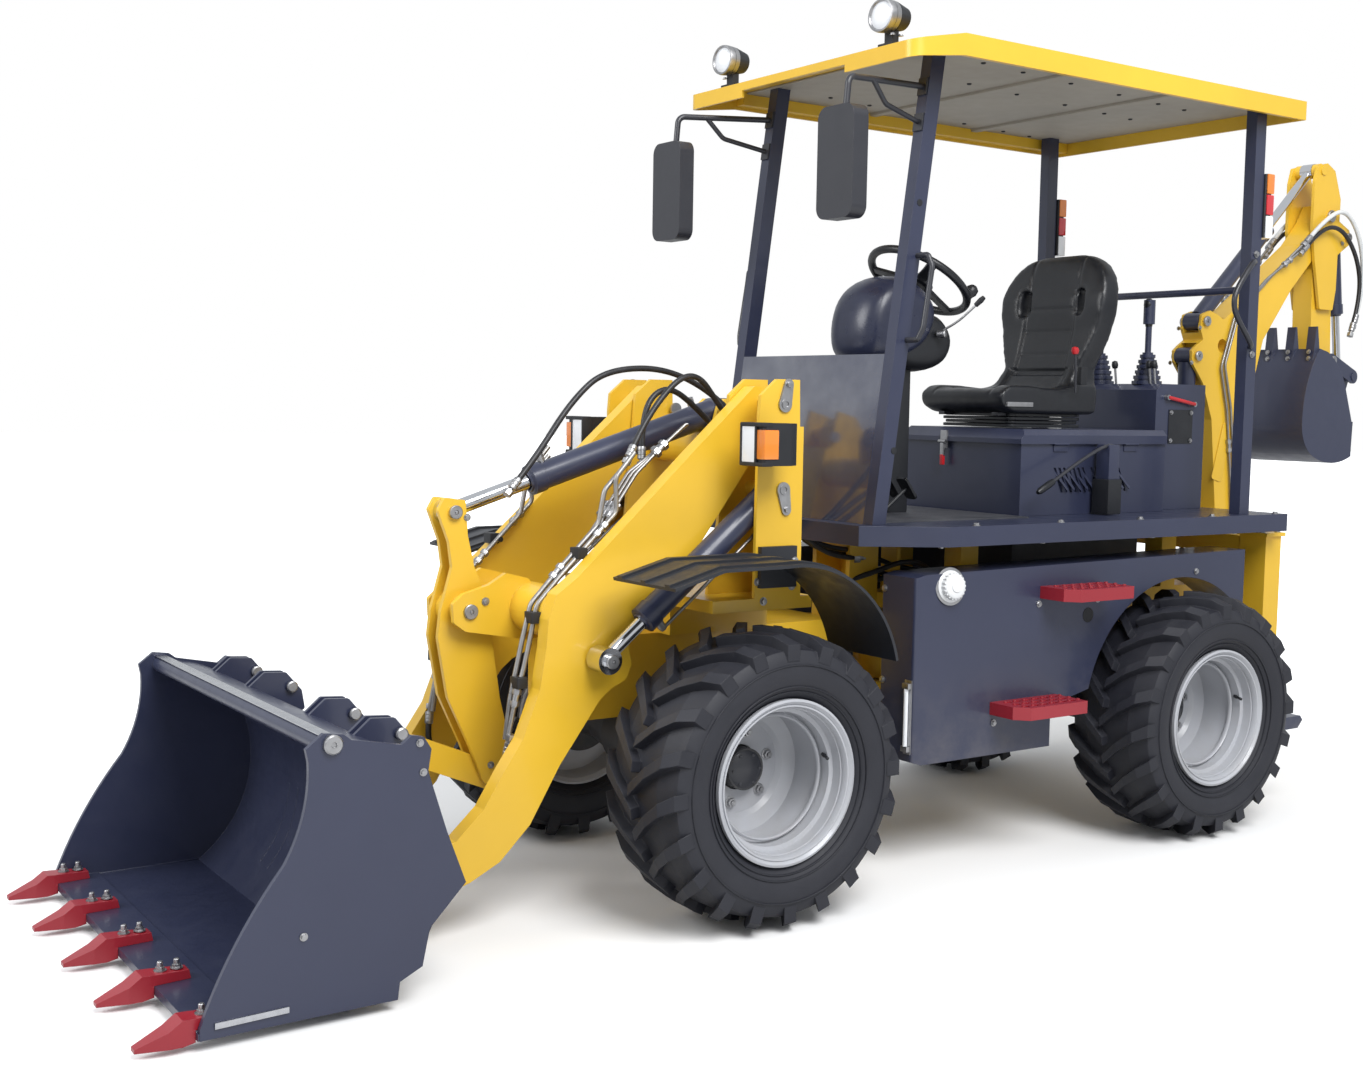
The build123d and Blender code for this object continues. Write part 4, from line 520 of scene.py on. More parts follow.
def keeper(mesh, at, direction, along, length=0.062, radius=0.027):
    """Adds a keeper plate: two round ends joined by a waist, with the pin and a bolt in it."""
    z = Vector(direction).normalized()
    x = Vector(along).normalized()
    matrix = axes_at(x, z.cross(x), z, at)
    outline = []
    for step in range(13):
        angle = radians(60 + 240 * step / 12)
        outline.append((radius * cos(angle), radius * sin(angle)))
    for step in range(11):
        angle = radians(-110 + 220 * step / 10)
        outline.append((length + radius * 0.72 * cos(angle), radius * 0.72 * sin(angle)))
    sheet_metal(mesh, outline, 0.007, matrix, 0.0012)
    bolt(mesh, matrix @ Vector((length, 0, 0.007)), z, 0.020, washer=False)
    turned(mesh, [(radius * 0.62, 0.006), (radius * 0.62, 0.010), (radius * 0.40, 0.010), (radius * 0.36, 0.004),
                  (0, 0.004)], matrix, 24)


def round_curve(name, points, diameter, resolution):
    """Curve data with a round section: a NURBS line that points pull on, from the first to the last of them."""
    data = bpy.data.curves.new(name, "CURVE")
    data.dimensions = "3D"
    data.bevel_depth = diameter / 2
    data.bevel_resolution = 4
    data.resolution_u = resolution
    data.use_fill_caps = True
    spline = data.splines.new("NURBS")
    spline.points.add(len(points) - 1)
    for control, point in zip(spline.points, points):
        control.co = (*point, 1)
    spline.order_u = 3
    spline.use_endpoint_u = True
    return data


def line(name, points, diameter, finish_name, body="rear_frame"):
    """Hose or pipe along points, on one body."""
    return place_on(bpy.data.objects.new(name, round_curve(name, points, diameter, 10)), finish_name, body)


def across(name, points, diameter, finish_name="hose"):
    """Hose that bends over a joint, made into one fixed mesh; neither end is tied to a body."""
    curve = linked(name + "_line", round_curve(name, points, diameter, 12))
    mesh = evaluated(curve)
    bpy.data.objects.remove(curve)
    mesh.name = name
    mesh.shade_smooth()
    hose = linked(name, mesh)
    coat(hose, finish_name)
    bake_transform(hose)
    return hose


def pipe_route(corners, bend=0.03):
    """Route of a bent steel pipe: each inner corner gets a control point close on either side."""
    route = [corners[0]]
    for before, corner, after in zip(corners, corners[1:], corners[2:]):
        route.append(corner + (before - corner).normalized() * bend)
        route.append(corner)
        route.append(corner + (after - corner).normalized() * bend)
    return route + [corners[-1]]


def crimp(mesh, at, direction, diameter):
    """Adds a hose end: ribbed ferrule, neck and union nut."""
    r = diameter / 2
    profile = [(0, -0.004), (r * 1.30, -0.004), (r * 1.42, 0), (r * 1.42, 0.008), (r * 1.30, 0.010), (r * 1.42, 0.012),
               (r * 1.42, 0.022), (r * 1.30, 0.024), (r * 1.42, 0.026), (r * 1.42, 0.036), (r * 0.8, 0.040),
               (r * 0.8, 0.052), (0, 0.052)]
    matrix = looking(direction, at)
    turned(mesh, profile, matrix, 20)
    sheet_metal(mesh, hexagon(r * 1.55), 0.018, matrix @ Matrix.Translation((0, 0, 0.046)), 0.0012)


def crimped(name, end, before, diameter, body):
    """Piece with the fitting at the end of a hose, which comes from the point before."""
    mesh = bmesh.new()
    crimp(mesh, end, end - before, diameter)
    return piece(name, mesh, "zinc", body)


def coupler(mesh, at, direction, diameter):
    """Adds a pipe union: two nuts on a body."""
    r = diameter / 2
    matrix = looking(direction, at)
    turned(mesh, [(0, -0.030), (r * 1.3, -0.030), (r * 1.3, 0.030), (0, 0.030)], matrix, 18)
    for shift in (-0.026, 0.010):
        sheet_metal(mesh, hexagon(r * 1.9), 0.016, matrix @ Matrix.Translation((0, 0, shift)), 0.0012)


# ---------------------------------------------------------------- paint on the frame's own pieces
COATS = {
    "slate": ["platform", "canopy_frame", "seat_box", "backhoe_console", "lift_barrels", "tilt_barrel", "boom_barrel",
              "stick_barrel", "dig_barrel", "loader_bucket"],
    "slate_low": ["side_tanks", "dig_bucket", "dig_rocker", "dig_link", "stabiliser_leg_left", "stabiliser_leg_right"],
    "gloss": ["dash"],
    "yellow": ["front_chassis", "rear_chassis", "slide_frame", "loader_arms", "bellcrank", "tilt_link", "boom",
               "stick", "swing_post", "roof"],
    "red": ["steps", "bucket_teeth"],
    "silver": ["rim_front_left", "rim_front_right", "rim_rear_left", "rim_rear_right"],
    "tyre": ["tyre_front_left", "tyre_front_right", "tyre_rear_left", "tyre_rear_right"],
    "chrome": ["lift_rods", "tilt_rod", "boom_rod", "stick_rod", "dig_rod"],
    "iron": ["front_axle", "rear_axle", "engine_block"],
    "mudguard": ["fenders"],
    "plastic": ["head_lamps", "lamps", "steering_column"],
    "soot": ["mirrors_and_rails"],
    "vinyl": ["seat"],
}


class LOADER_OT_paint(bpy.types.Operator):
    """Give every piece of the frame its finish"""

    bl_idname = "loader.paint"
    bl_label = "Paint the frame"

    def execute(self, context):
        for name, nodes in COATS.items():
            for node in nodes:
                for material_slot in NODES[node].material_slots:
                    material_slot.material = finish(name)
        return {"FINISHED"}


# ---------------------------------------------------------------- wheels
WHEELS = [(end, side) for end in ("front", "rear") for side in ("left", "right")]
RIM_NUTS = 6
NUT_CIRCLE = 0.115      # radius on which the wheel nuts stand
RIM_FACE = -0.092       # where the nuts stand, from the middle of the wheel outward
HUB_BOLTS = 6
HUB_CIRCLE = 0.051
RING_STEPS = 72
TYRE_RINGS = ((0.286, 0.0030), (0.302, 0.0022), (0.371, 0.0028))      # radius of a moulded ring, height of it


def wheel_matrix(end, side):
    """Axes of a wheel: the origin in its middle, local Z outward."""
    sign = 1 if side == "left" else -1
    return looking((0, sign, 0), PINS[f"spin_{end}_{side}"])


class LOADER_OT_wheels(bpy.types.Operator):
    """Add wheel nuts, hub caps, valve stems, rim beads and tyre rings"""

    bl_idname = "loader.wheels"
    bl_label = "Wheel details"

    def execute(self, context):
        for end, side in WHEELS:
            label, body = f"{end}_{side}", f"wheel_{end}_{side}"
            matrix = wheel_matrix(end, side)
            self.nuts(label, body, matrix)
            self.cap(label, body, matrix)
            self.rings(label, body, matrix)
            self.stem(label, body, matrix)
        return {"FINISHED"}

    def nuts(self, label, body, matrix):
        nuts = bmesh.new()
        for k in range(RIM_NUTS):
            angle = 2 * pi * (k + 0.25) / RIM_NUTS
            at = matrix @ Vector((NUT_CIRCLE * cos(angle), NUT_CIRCLE * sin(angle), RIM_FACE))
            stud = looking(matrix.to_3x3() @ Vector((0, 0, 1)), at)
            turned(nuts, [(0, 0), (0.019, 0), (0.019, 0.003), (0.013, 0.004), (0.007, 0.020), (0, 0.020)], stud, 18)
            sheet_metal(nuts, hexagon(0.0150), 0.012, stud @ Matrix.Translation((0, 0, 0.003)), 0.0012)
        piece(f"wheel_nuts_{label}", nuts, "zinc", body)

    def cap(self, label, body, matrix):
        cap = bmesh.new()
        hub = [(0, -0.060), (0.062, -0.060), (0.064, -0.052), (0.052, -0.044), (0.040, -0.041), (0.020, -0.034),
               (0, -0.033)]
        turned(cap, hub, matrix, 36)
        for k in range(HUB_BOLTS):
            angle = 2 * pi * k / HUB_BOLTS
            at = matrix @ Vector((HUB_CIRCLE * cos(angle), HUB_CIRCLE * sin(angle), -0.046))
            bolt(cap, at, matrix.to_3x3() @ Vector((0, 0, 1)), 0.010, washer=False)
        piece(f"hub_cap_{label}", cap, "soot", body)

    def rings(self, label, body, matrix):
        bead = bmesh.new()
        for section in (
            [(0.236, 0.150), (0.244, 0.163), (0.243, 0.171), (0.238, 0.171), (0.232, 0.160), (0.232, 0.150)],
            [(0.196, 0.062), (0.202, 0.066), (0.202, 0.078), (0.196, 0.082), (0.192, 0.078), (0.192, 0.066)],
        ):
            closed_ring(bead, section, matrix, RING_STEPS)
        piece(f"rim_beads_{label}", bead, "silver", body, 50)
        walls = bmesh.new()
        for radius, proud in TYRE_RINGS:
            for sign in SIDES:
                height, lift = sign * sidewall(radius), sign * proud
                section = [(radius - 0.003, height - lift), (radius - 0.0015, height + lift),
                           (radius + 0.0015, height + lift), (radius + 0.003, height - lift)]
                closed_ring(walls, section, matrix, RING_STEPS)
        piece(f"tyre_rings_{label}", walls, "tyre", body, 50)

    def stem(self, label, body, matrix):
        at = matrix @ Vector((0.205, 0.052, 0.085))
        axis = matrix.to_3x3() @ Vector((-0.35, -0.1, 1)).normalized()
        profile = [(0, 0), (0.0065, 0), (0.0065, 0.016), (0.0045, 0.018), (0.0045, 0.034), (0.0055, 0.036),
                   (0.0055, 0.046), (0.003, 0.048), (0, 0.048)]
        piece(f"valve_stem_{label}", shaped(turned, profile, looking(axis, at), 14), "plastic", body, 40)


def closed_ring(mesh, section, matrix, steps):
    """Adds a ring: section is a closed loop of (radius, height) turned about local Z."""
    rings = []
    for k in range(steps):
        angle = 2 * pi * k / steps
        rings.append([mesh.verts.new(matrix @ Vector((r * cos(angle), r * sin(angle), h))) for r, h in section])
    count = len(section)
    for k in range(steps):
        here, there = rings[k], rings[(k + 1) % steps]
        for n in range(count):
            mesh.faces.new((here[n], here[(n + 1) % count], there[(n + 1) % count], there[n]))


def sidewall(radius):
    """Half width of the tyre at a radius, read from the tyre's own surface."""
    low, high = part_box("tyre_front_left")
    centre = PINS["spin_front_left"]
    best = 0.0
    for vertex in NODES["tyre_front_left"].data.vertices:
        reach = Vector((vertex.co.x - centre.x, vertex.co.z - centre.z)).length
        if abs(reach - radius) < 0.010:
            best = max(best, vertex.co.y - centre.y)
    return best or (high.y - low.y) / 2


# ---------------------------------------------------------------- loader linkage
LIFT_EYE = spot(1463, 0, 832)       # rod eye of the lift cylinders
TILT_EYE = spot(1796, 0, 1275)      # rod eye of the tilt cylinder, at the bellcrank's top
CRANK_LOW = spot(1640, 0, 405)      # bellcrank's lower pin
LIFT_Y = 0.415                      # middle of a lift cylinder
MAST_FACE = 0.4775                  # outer face of the mast
CRANK_LUG_FACE = 0.0985             # outer face of the lugs that hold the bellcrank
LIFT_LUG_FACE = 0.462               # outer face of the arms at the lift cylinder's rod eye


def joint_pin(name):
    return PINS[name].copy()


class LOADER_OT_linkage(bpy.types.Operator):
    """Add pin keepers, pin ends and bolts to the mast, the arms and the bellcrank"""

    bl_idname = "loader.linkage"
    bl_label = "Loader pins and bolts"

    def execute(self, context):
        mast = bmesh.new()
        for side in SIDES:
            for name, along in (("lift", (-0.2, 0, 1)), ("lift_barrel_pivot", (-0.2, 0, -1))):
                pin = joint_pin(name)
                at = Vector((pin.x, side * MAST_FACE, pin.z))
                keeper(mast, at, (0, side, 0), along, 0.066, 0.026)
        piece("mast_keepers", mast, "zinc", "front_frame")
        places = []
        for side in SIDES:
            for x, z in ((-0.006, 0.055), (0.055, 0.020), (-0.085, 0.0), (0.030, -0.045)):
                places.append((spot(870, side * 477, 1035) + Vector((x, 0, z)), (0, side, 0)))
            for x, z in ((790, 1120), (905, 1120)):
                places.append((spot(x, side * 497.5, z), (0, side, 0)))
        bolts("mudguard_bolts", places[:8], "front_frame", "zinc", 0.018)
        bolts("mudguard_bracket_bolts", places[8:], "front_frame", "zinc", 0.020)
        tilt = joint_pin("tilt_barrel_pivot")
        ends = bmesh.new()
        for side in SIDES:
            pin_end(ends, Vector((tilt.x, side * 0.262, tilt.z)), (0, side, 0), 0.022)
        piece("tilt_base_pins", ends, "zinc", "front_frame")
        self.arms()
        self.crank()
        return {"FINISHED"}

    def arms(self):
        crank = joint_pin("crank_pivot")
        ends = bmesh.new()
        keepers = bmesh.new()
        for side in SIDES:
            at = Vector((crank.x, side * CRANK_LUG_FACE, crank.z))
            pin_end(ends, at, (0, side, 0), 0.024)
            bolt(keepers, at + Vector((-0.052, 0, 0.030)), (0, side, 0), 0.017)
            pin_end(ends, LIFT_EYE + Vector((0, side * LIFT_LUG_FACE, 0)), (0, side, 0), 0.022)
        piece("arm_pins", ends, "zinc", "lift_arm")
        piece("arm_bolts", keepers, "zinc", "lift_arm")

    def crank(self):
        mesh = bmesh.new()
        for side in SIDES:
            for eye in (TILT_EYE, CRANK_LOW):
                pin_end(mesh, eye + Vector((0, side * 0.0515, 0)), (0, side, 0), 0.022)
            bolt(mesh, spot(1752, side * 45.5, 1257), (0, side, 0), 0.015)
            bolt(mesh, spot(1664, side * 45.5, 452), (0, side, 0), 0.015)
        piece("bellcrank_pins", mesh, "zinc", "crank")
        glands = bmesh.new()
        base = joint_pin("lift_barrel_pivot")
        along = (LIFT_EYE - base).normalized()
        for side in SIDES:
            gland(glands, base + along * 0.640 + Vector((0, side * LIFT_Y, 0)), along, 0.0435, 0.0225)
        piece("lift_glands", glands, "slate", "lift_barrel")
        glands = bmesh.new()
        base = joint_pin("tilt_barrel_pivot")
        along = (TILT_EYE - base).normalized()
        gland(glands, base + along * 0.780, along, 0.0465, 0.0285)
        piece("tilt_gland", glands, "slate", "tilt_barrel_body")
        ports = bmesh.new()
        up = along.cross(Vector((0, 1, 0)))
        up = up if up.z > 0 else -up
        for shift in (0.10, 0.72):
            at = base + along * shift + up * 0.044
            turned(ports, [(0, -0.01), (0.013, -0.01), (0.013, 0.018), (0.009, 0.020), (0, 0.020)],
                   looking(up, at), 16)
            sheet_metal(ports, hexagon(0.0125), 0.014, looking(up, at + up * 0.018), 0.001)
        piece("tilt_ports", ports, "zinc", "tilt_barrel_body")


def gland(mesh, at, direction, outer, inner):
    """Adds the ring nut at the mouth of a cylinder, with its grooves and wiper."""
    rings = [(inner + 0.001, 0.010), (inner + 0.006, 0.010), (inner + 0.009, 0.004), (outer - 0.004, 0.003),
             (outer + 0.0010, 0.000), (outer + 0.0018, -0.004), (outer + 0.0018, -0.012), (outer + 0.0004, -0.014),
             (outer + 0.0018, -0.016), (outer + 0.0018, -0.026), (outer + 0.0003, -0.030), (inner + 0.001, -0.030)]
    closed_ring(mesh, rings, looking(direction, at), 36)


# ---------------------------------------------------------------- hoses and pipes of the loader
# name, y at the mast, y at the arm, points (x, z) from the mast out over the pivot to the arm
MAST_HOSES = [
    ("tilt_hose_a", (86, 150),
     ((190, 1100), (330, 1105), (500, 1195), (640, 1350), (780, 1480), (940, 1620), (1050, 1685), (1130, 1650),
      (1165, 1560), (1170, 1480))),
    ("tilt_hose_b", (60, 150),
     ((190, 1085), (330, 1092), (500, 1190), (620, 1370), (740, 1590), (1010, 1745), (1289, 1739), (1425, 1633),
      (1560, 1450), (1628, 1379))),
    ("aux_hose_a", (100, 240),
     ((190, 1070), (330, 1080), (500, 1180), (620, 1310), (740, 1470), (874, 1610), (1011, 1756), (1184, 1610),
      (1259, 1486))),
]
# corners (x, z) of the outer and of the inner pipe along an arm
ARM_PIPE = [(1280, 1470), (1350, 1390), (1345, 1280), (1403, 1225), (1550, 1082), (1630, 998), (1653, 890),
            (1673, 804), (1700, 713), (1724, 599), (1730, 540)]
ARM_PIPE_FAR = [(1290, 1440), (1378, 1350), (1400, 1240), (1548, 1096), (1640, 1000), (1668, 890), (1700, 750),
                (1710, 700), (1725, 582)]


def route(pairs, y_start, y_end):
    """Points from (x, z) pairs, with y running evenly between two values."""
    last = len(pairs) - 1
    return [spot(x, y_start + (y_end - y_start) * k / last, z) for k, (x, z) in enumerate(pairs)]


class LOADER_OT_hoses(bpy.types.Operator):
    """Add the hoses over the arms' pivot and the steel pipes along the arms"""

    bl_idname = "loader.hoses"
    bl_label = "Loader hoses and pipes"

    def execute(self, context):
        sizes = settings().hoses
        for name, (mast_y, arm_y), pairs in MAST_HOSES:
            points = route(pairs, mast_y, arm_y)
            across(name, points, sizes.hose)
            crimped(f"{name}_end", points[-1], points[-2], sizes.hose, "lift_arm")
            crimped(f"{name}_root", points[0], points[1], sizes.hose, "front_frame")
        for side, label in LABELS.items():
            for shift, pairs in ((283, ARM_PIPE), (262, ARM_PIPE_FAR)):
                corners = [spot(x, side * shift, z) for x, z in pairs]
                name = f"arm_pipe_{label}_{shift}"
                line(name, pipe_route(corners), sizes.pipe, "steel", "lift_arm")
                unions = bmesh.new()
                for k in [k for k in (3, 8) if k < len(corners) - 1]:
                    coupler(unions, corners[k], corners[k + 1] - corners[k], sizes.pipe)
                piece(f"{name}_unions", unions, "zinc", "lift_arm")
            clamps = bmesh.new()
            for x, z in ((1480, 1154), (1640, 960), (1688, 760)):
                at = spot(x, side * 300, z)
                case(clamps, at - Vector((0.018, 0.046, 0.018)), at + Vector((0.018, 0.005, 0.018)), 0.004)
                bolt(clamps, at + Vector((0, -side * 0.046, 0)), (0, -side, 0), 0.012)
            piece(f"pipe_clamps_{label}", clamps, "plastic", "lift_arm")
            tail = [spot(1730, side * 283, 540), spot(1742, side * 272, 470), spot(1700, side * 240, 400),
                    spot(1620, side * 200, 380), spot(1540, side * 150, 440), spot(1480, side * 120, 560)]
            line(f"arm_tail_hose_{label}", tail, sizes.hose, "hose", "lift_arm")
            crimped(f"arm_tail_end_{label}", tail[0], tail[1], sizes.hose, "lift_arm")
            self.lift_cylinder_pipe(side, label, sizes)
        blocks = bmesh.new()
        for x, y, z in ((215, 86, 1096), (215, 60, 1080), (215, 100, 1066)):
            at = spot(x, y, z)
            case(blocks, at - Vector((0.030, 0.014, 0.012)), at + Vector((-0.002, 0.014, 0.012)), 0.003)
        piece("mast_ports", blocks, "zinc", "front_frame")
        self.cluster(sizes)
        return {"FINISHED"}

    def lift_cylinder_pipe(self, side, label, sizes):
        """Pipe along a lift cylinder, from its far port to its near one."""
        base = joint_pin("lift_barrel_pivot")
        along = (LIFT_EYE - base).normalized()
        down = Vector((along.z, 0, -along.x))
        down = down if down.z < 0 else -down
        y = Vector((0, side * LIFT_Y, 0))
        shift = Vector((0, -side * 0.020, 0))
        far = base + along * 0.600 + down * 0.050 + y
        near = base + along * 0.070 + down * 0.050 + y
        pipe = [far, far + down * 0.022, near + down * 0.024 + along * 0.09, near + down * 0.024 + shift]
        line(f"lift_pipe_{label}", pipe_route(pipe, 0.02), sizes.wire, "steel", "lift_barrel")
        ports = bmesh.new()
        for at in (far, near):
            turned(ports, [(0, -0.012), (0.014, -0.012), (0.014, 0.016), (0, 0.016)], looking(down, at), 16)
            sheet_metal(ports, hexagon(0.012), 0.012, looking(down, at + down * 0.014), 0.001)
        piece(f"lift_ports_{label}", ports, "zinc", "lift_barrel")

    def cluster(self, sizes):
        """Pipes and unions on top of the front frame between the arms."""
        for k, y in enumerate((180, 205, 230)):
            corners = [spot(1010 + 20 * k, y, 1560), spot(1120 + 15 * k, y, 1480), spot(1240, y, 1400),
                       spot(1330, y + 6, 1280), spot(1392, y + 10, 1200)]
            line(f"valve_pipe_{k}", pipe_route(corners, 0.025), sizes.wire, "steel", "lift_arm")
            unions = bmesh.new()
            coupler(unions, corners[1], corners[2] - corners[1], sizes.hose)
            coupler(unions, corners[3], corners[4] - corners[3], sizes.hose)
            piece(f"valve_unions_{k}", unions, "zinc", "lift_arm")


# ---------------------------------------------------------------- bucket
# machine millimetres, as spot() takes them
BUCKET_FLOOR = 31
BUCKET_SHEET = 18
BUCKET_BACK = ((2235, 640), (2168, 330), (2360, BUCKET_FLOOR))      # outer face of its round back, x and z
BUCKET_SIDE = 768.5                                                 # outer face of its side plates
EAR_Y, EAR_BAND = 335, 75                                           # middle and half width of a pair of arm ears
EAR_Z = (455, 51)                                                   # from where the ears are cut, down to the floor
EAR_FRONT = 2400                                                    # they end before this x


class LOADER_OT_bucket(bpy.types.Operator):
    """Add the bucket's bright strip along its top edge, which is a painted highlight, and its wear plates, pins and
    tooth bolts
    """

    bl_idname = "loader.bucket"
    bl_label = "Bucket details"

    def execute(self, context):
        self.shell()
        mesh = bmesh.new()
        stud = [(0, 0.006), (0.008, 0.006), (0.008, 0.024), (0.006, 0.026), (0, 0.026)]
        for at in [spot(x, k * 359, 84) for k in range(-2, 3) for x in (2762, 2806)]:
            bolt(mesh, at, (0, 0, 1), 0.022)
            turned(mesh, stud, looking((0, 0, 1), at), 14)
        piece("tooth_bolts", mesh, "zinc", "bucket")
        # painted highlight: a thin bright steel strip along the bucket's top edge stands for the light that edge
        # catches
        mesh = shaped(sheet_metal, rounded(0.034, 1.500, 0.004), 0.0025, looking((0, 0, 1), spot(2482, 0, 757.5)),
                      0.0008)
        piece("top_edge_painted_highlight", mesh, "bright", "bucket")
        fittings = bmesh.new()
        for side in SIDES:
            y = side * BUCKET_SIDE
            turned(fittings, [(0, -0.004), (0.026, -0.004), (0.026, 0.010), (0.022, 0.014), (0.008, 0.014),
                              (0.006, 0.010), (0, 0.010)], looking((0, side, 0), spot(2482, y, 742)), 28)
            for x, z in ((2240, 720), (2230, 640), (2560, 250)):
                bolt(fittings, spot(x, y, z), (0, side, 0), 0.014)
            low = spot(2050, side * 386, 200)
            keeper(fittings, low, (0, side, 0), (-0.9, 0, -0.5), 0.060, 0.030)
        piece("bucket_pins", fittings, "zinc", "bucket")
        brackets = bmesh.new()
        for side in SIDES:
            for y in (225, 287, 553, 615):
                out = side if y in (287, 615) else -side
                turned(brackets, [(0, 0), (0.018, 0), (0.018, 0.007), (0.014, 0.010), (0, 0.010)],
                       looking((0, out, 0), spot(2225, side * y, 715)), 22)
        piece("guard_pins", brackets, "zinc", "bucket")
        wear = bmesh.new()
        for side in SIDES:
            matrix = axes_at((1, 0, 0), (0, 0, 1), (0, side, 0), spot(2600, side * BUCKET_SIDE, 60))
            sheet_metal(wear, [(0, 0), (0.190, -0.004), (0.190, 0.012), (0, 0.016)], 0.006, matrix, 0.0015)
        piece("side_wear_plates", wear, "bright", "bucket")
        seam = bmesh.new()
        for side in SIDES:
            weld_bead(seam, [spot(x, side * 755, z) for x, z in ((2700, 49), (2500, 49), (2360, 52))], 0.005)
        piece("bucket_welds", seam, "slate", "bucket", 60)
        return {"FINISHED"}

    def shell(self):
        """Copy of the bucket whose back is smooth inside, where the arms' ears would come through."""
        mesh = copy_of("loader_bucket")
        bmesh.ops.remove_doubles(mesh, verts=mesh.verts, dist=1e-5)
        shell = linked("bucket_shell", mesh_data("bucket_shell", mesh))
        x, z, radius = circle_through(*BUCKET_BACK)
        radius -= BUCKET_SHEET + 0.8
        top, bottom = EAR_Z
        outline = []
        for k in range(61):
            height = top + (bottom - top) * k / 60
            outline.append((x - (radius ** 2 - (height - z) ** 2) ** 0.5, height))
        outline += [(EAR_FRONT, bottom), (EAR_FRONT, top)]
        cutter = bmesh.new()
        for side in SIDES:
            plate = Matrix.Rotation(pi / 2, 4, "X")
            plate.translation = spot(0, side * EAR_Y + EAR_BAND, 0)
            sheet_metal(cutter, [(px * MM, pz * MM) for px, pz in outline], 2 * EAR_BAND * MM, plate)
        bmesh.ops.recalc_face_normals(cutter, faces=cutter.faces)
        knife = linked("knife", mesh_data("knife", cutter))
        cut = shell.modifiers.new("cut", "BOOLEAN")
        cut.operation = "DIFFERENCE"
        cut.solver = "EXACT"
        cut.object = knife
        settle(shell)
        bpy.data.objects.remove(knife)
        mesh = bmesh.new()
        mesh.from_mesh(shell.data)
        bmesh.ops.remove_doubles(mesh, verts=mesh.verts, dist=2e-5)
        bmesh.ops.dissolve_limit(mesh, angle_limit=radians(0.5), verts=mesh.verts, edges=mesh.edges)
        mesh.to_mesh(shell.data)
        mesh.free()
        shell.data.shade_smooth()
        shell.data.set_sharp_from_angle(angle=radians(12))
        even = shell.modifiers.new("even", "WEIGHTED_NORMAL")
        even.keep_sharp = True
        even.weight = 100
        settle(shell)
        coat(shell, "slate")
        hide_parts("loader_bucket")
        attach(shell, "bucket")


def circle_through(first, second, third):
    """Centre and radius of the circle through three (x, z) points."""
    ax, az = first
    bx, bz = second
    cx, cz = third
    twice = 2 * (ax * (bz - cz) + bx * (cz - az) + cx * (az - bz))
    a, b, c = ax * ax + az * az, bx * bx + bz * bz, cx * cx + cz * cz
    x = (a * (bz - cz) + b * (cz - az) + c * (az - bz)) / twice
    z = (a * (cx - bx) + b * (ax - cx) + c * (bx - ax)) / twice
    return x, z, ((ax - x) ** 2 + (az - z) ** 2) ** 0.5


def weld_bead(mesh, points, radius):
    """Adds a rippled weld along straight runs between points."""
    for first, second in zip(points, points[1:]):
        length = (second - first).length
        count = max(2, int(length / 0.008))
        profile = [(0, 0)]
        for k in range(count + 1):
            swell = radius * (0.85 + 0.15 * (k % 2))
            profile.append((swell, length * k / count))
        profile.append((0, length))
        turned(mesh, profile, looking(second - first, first), 8)


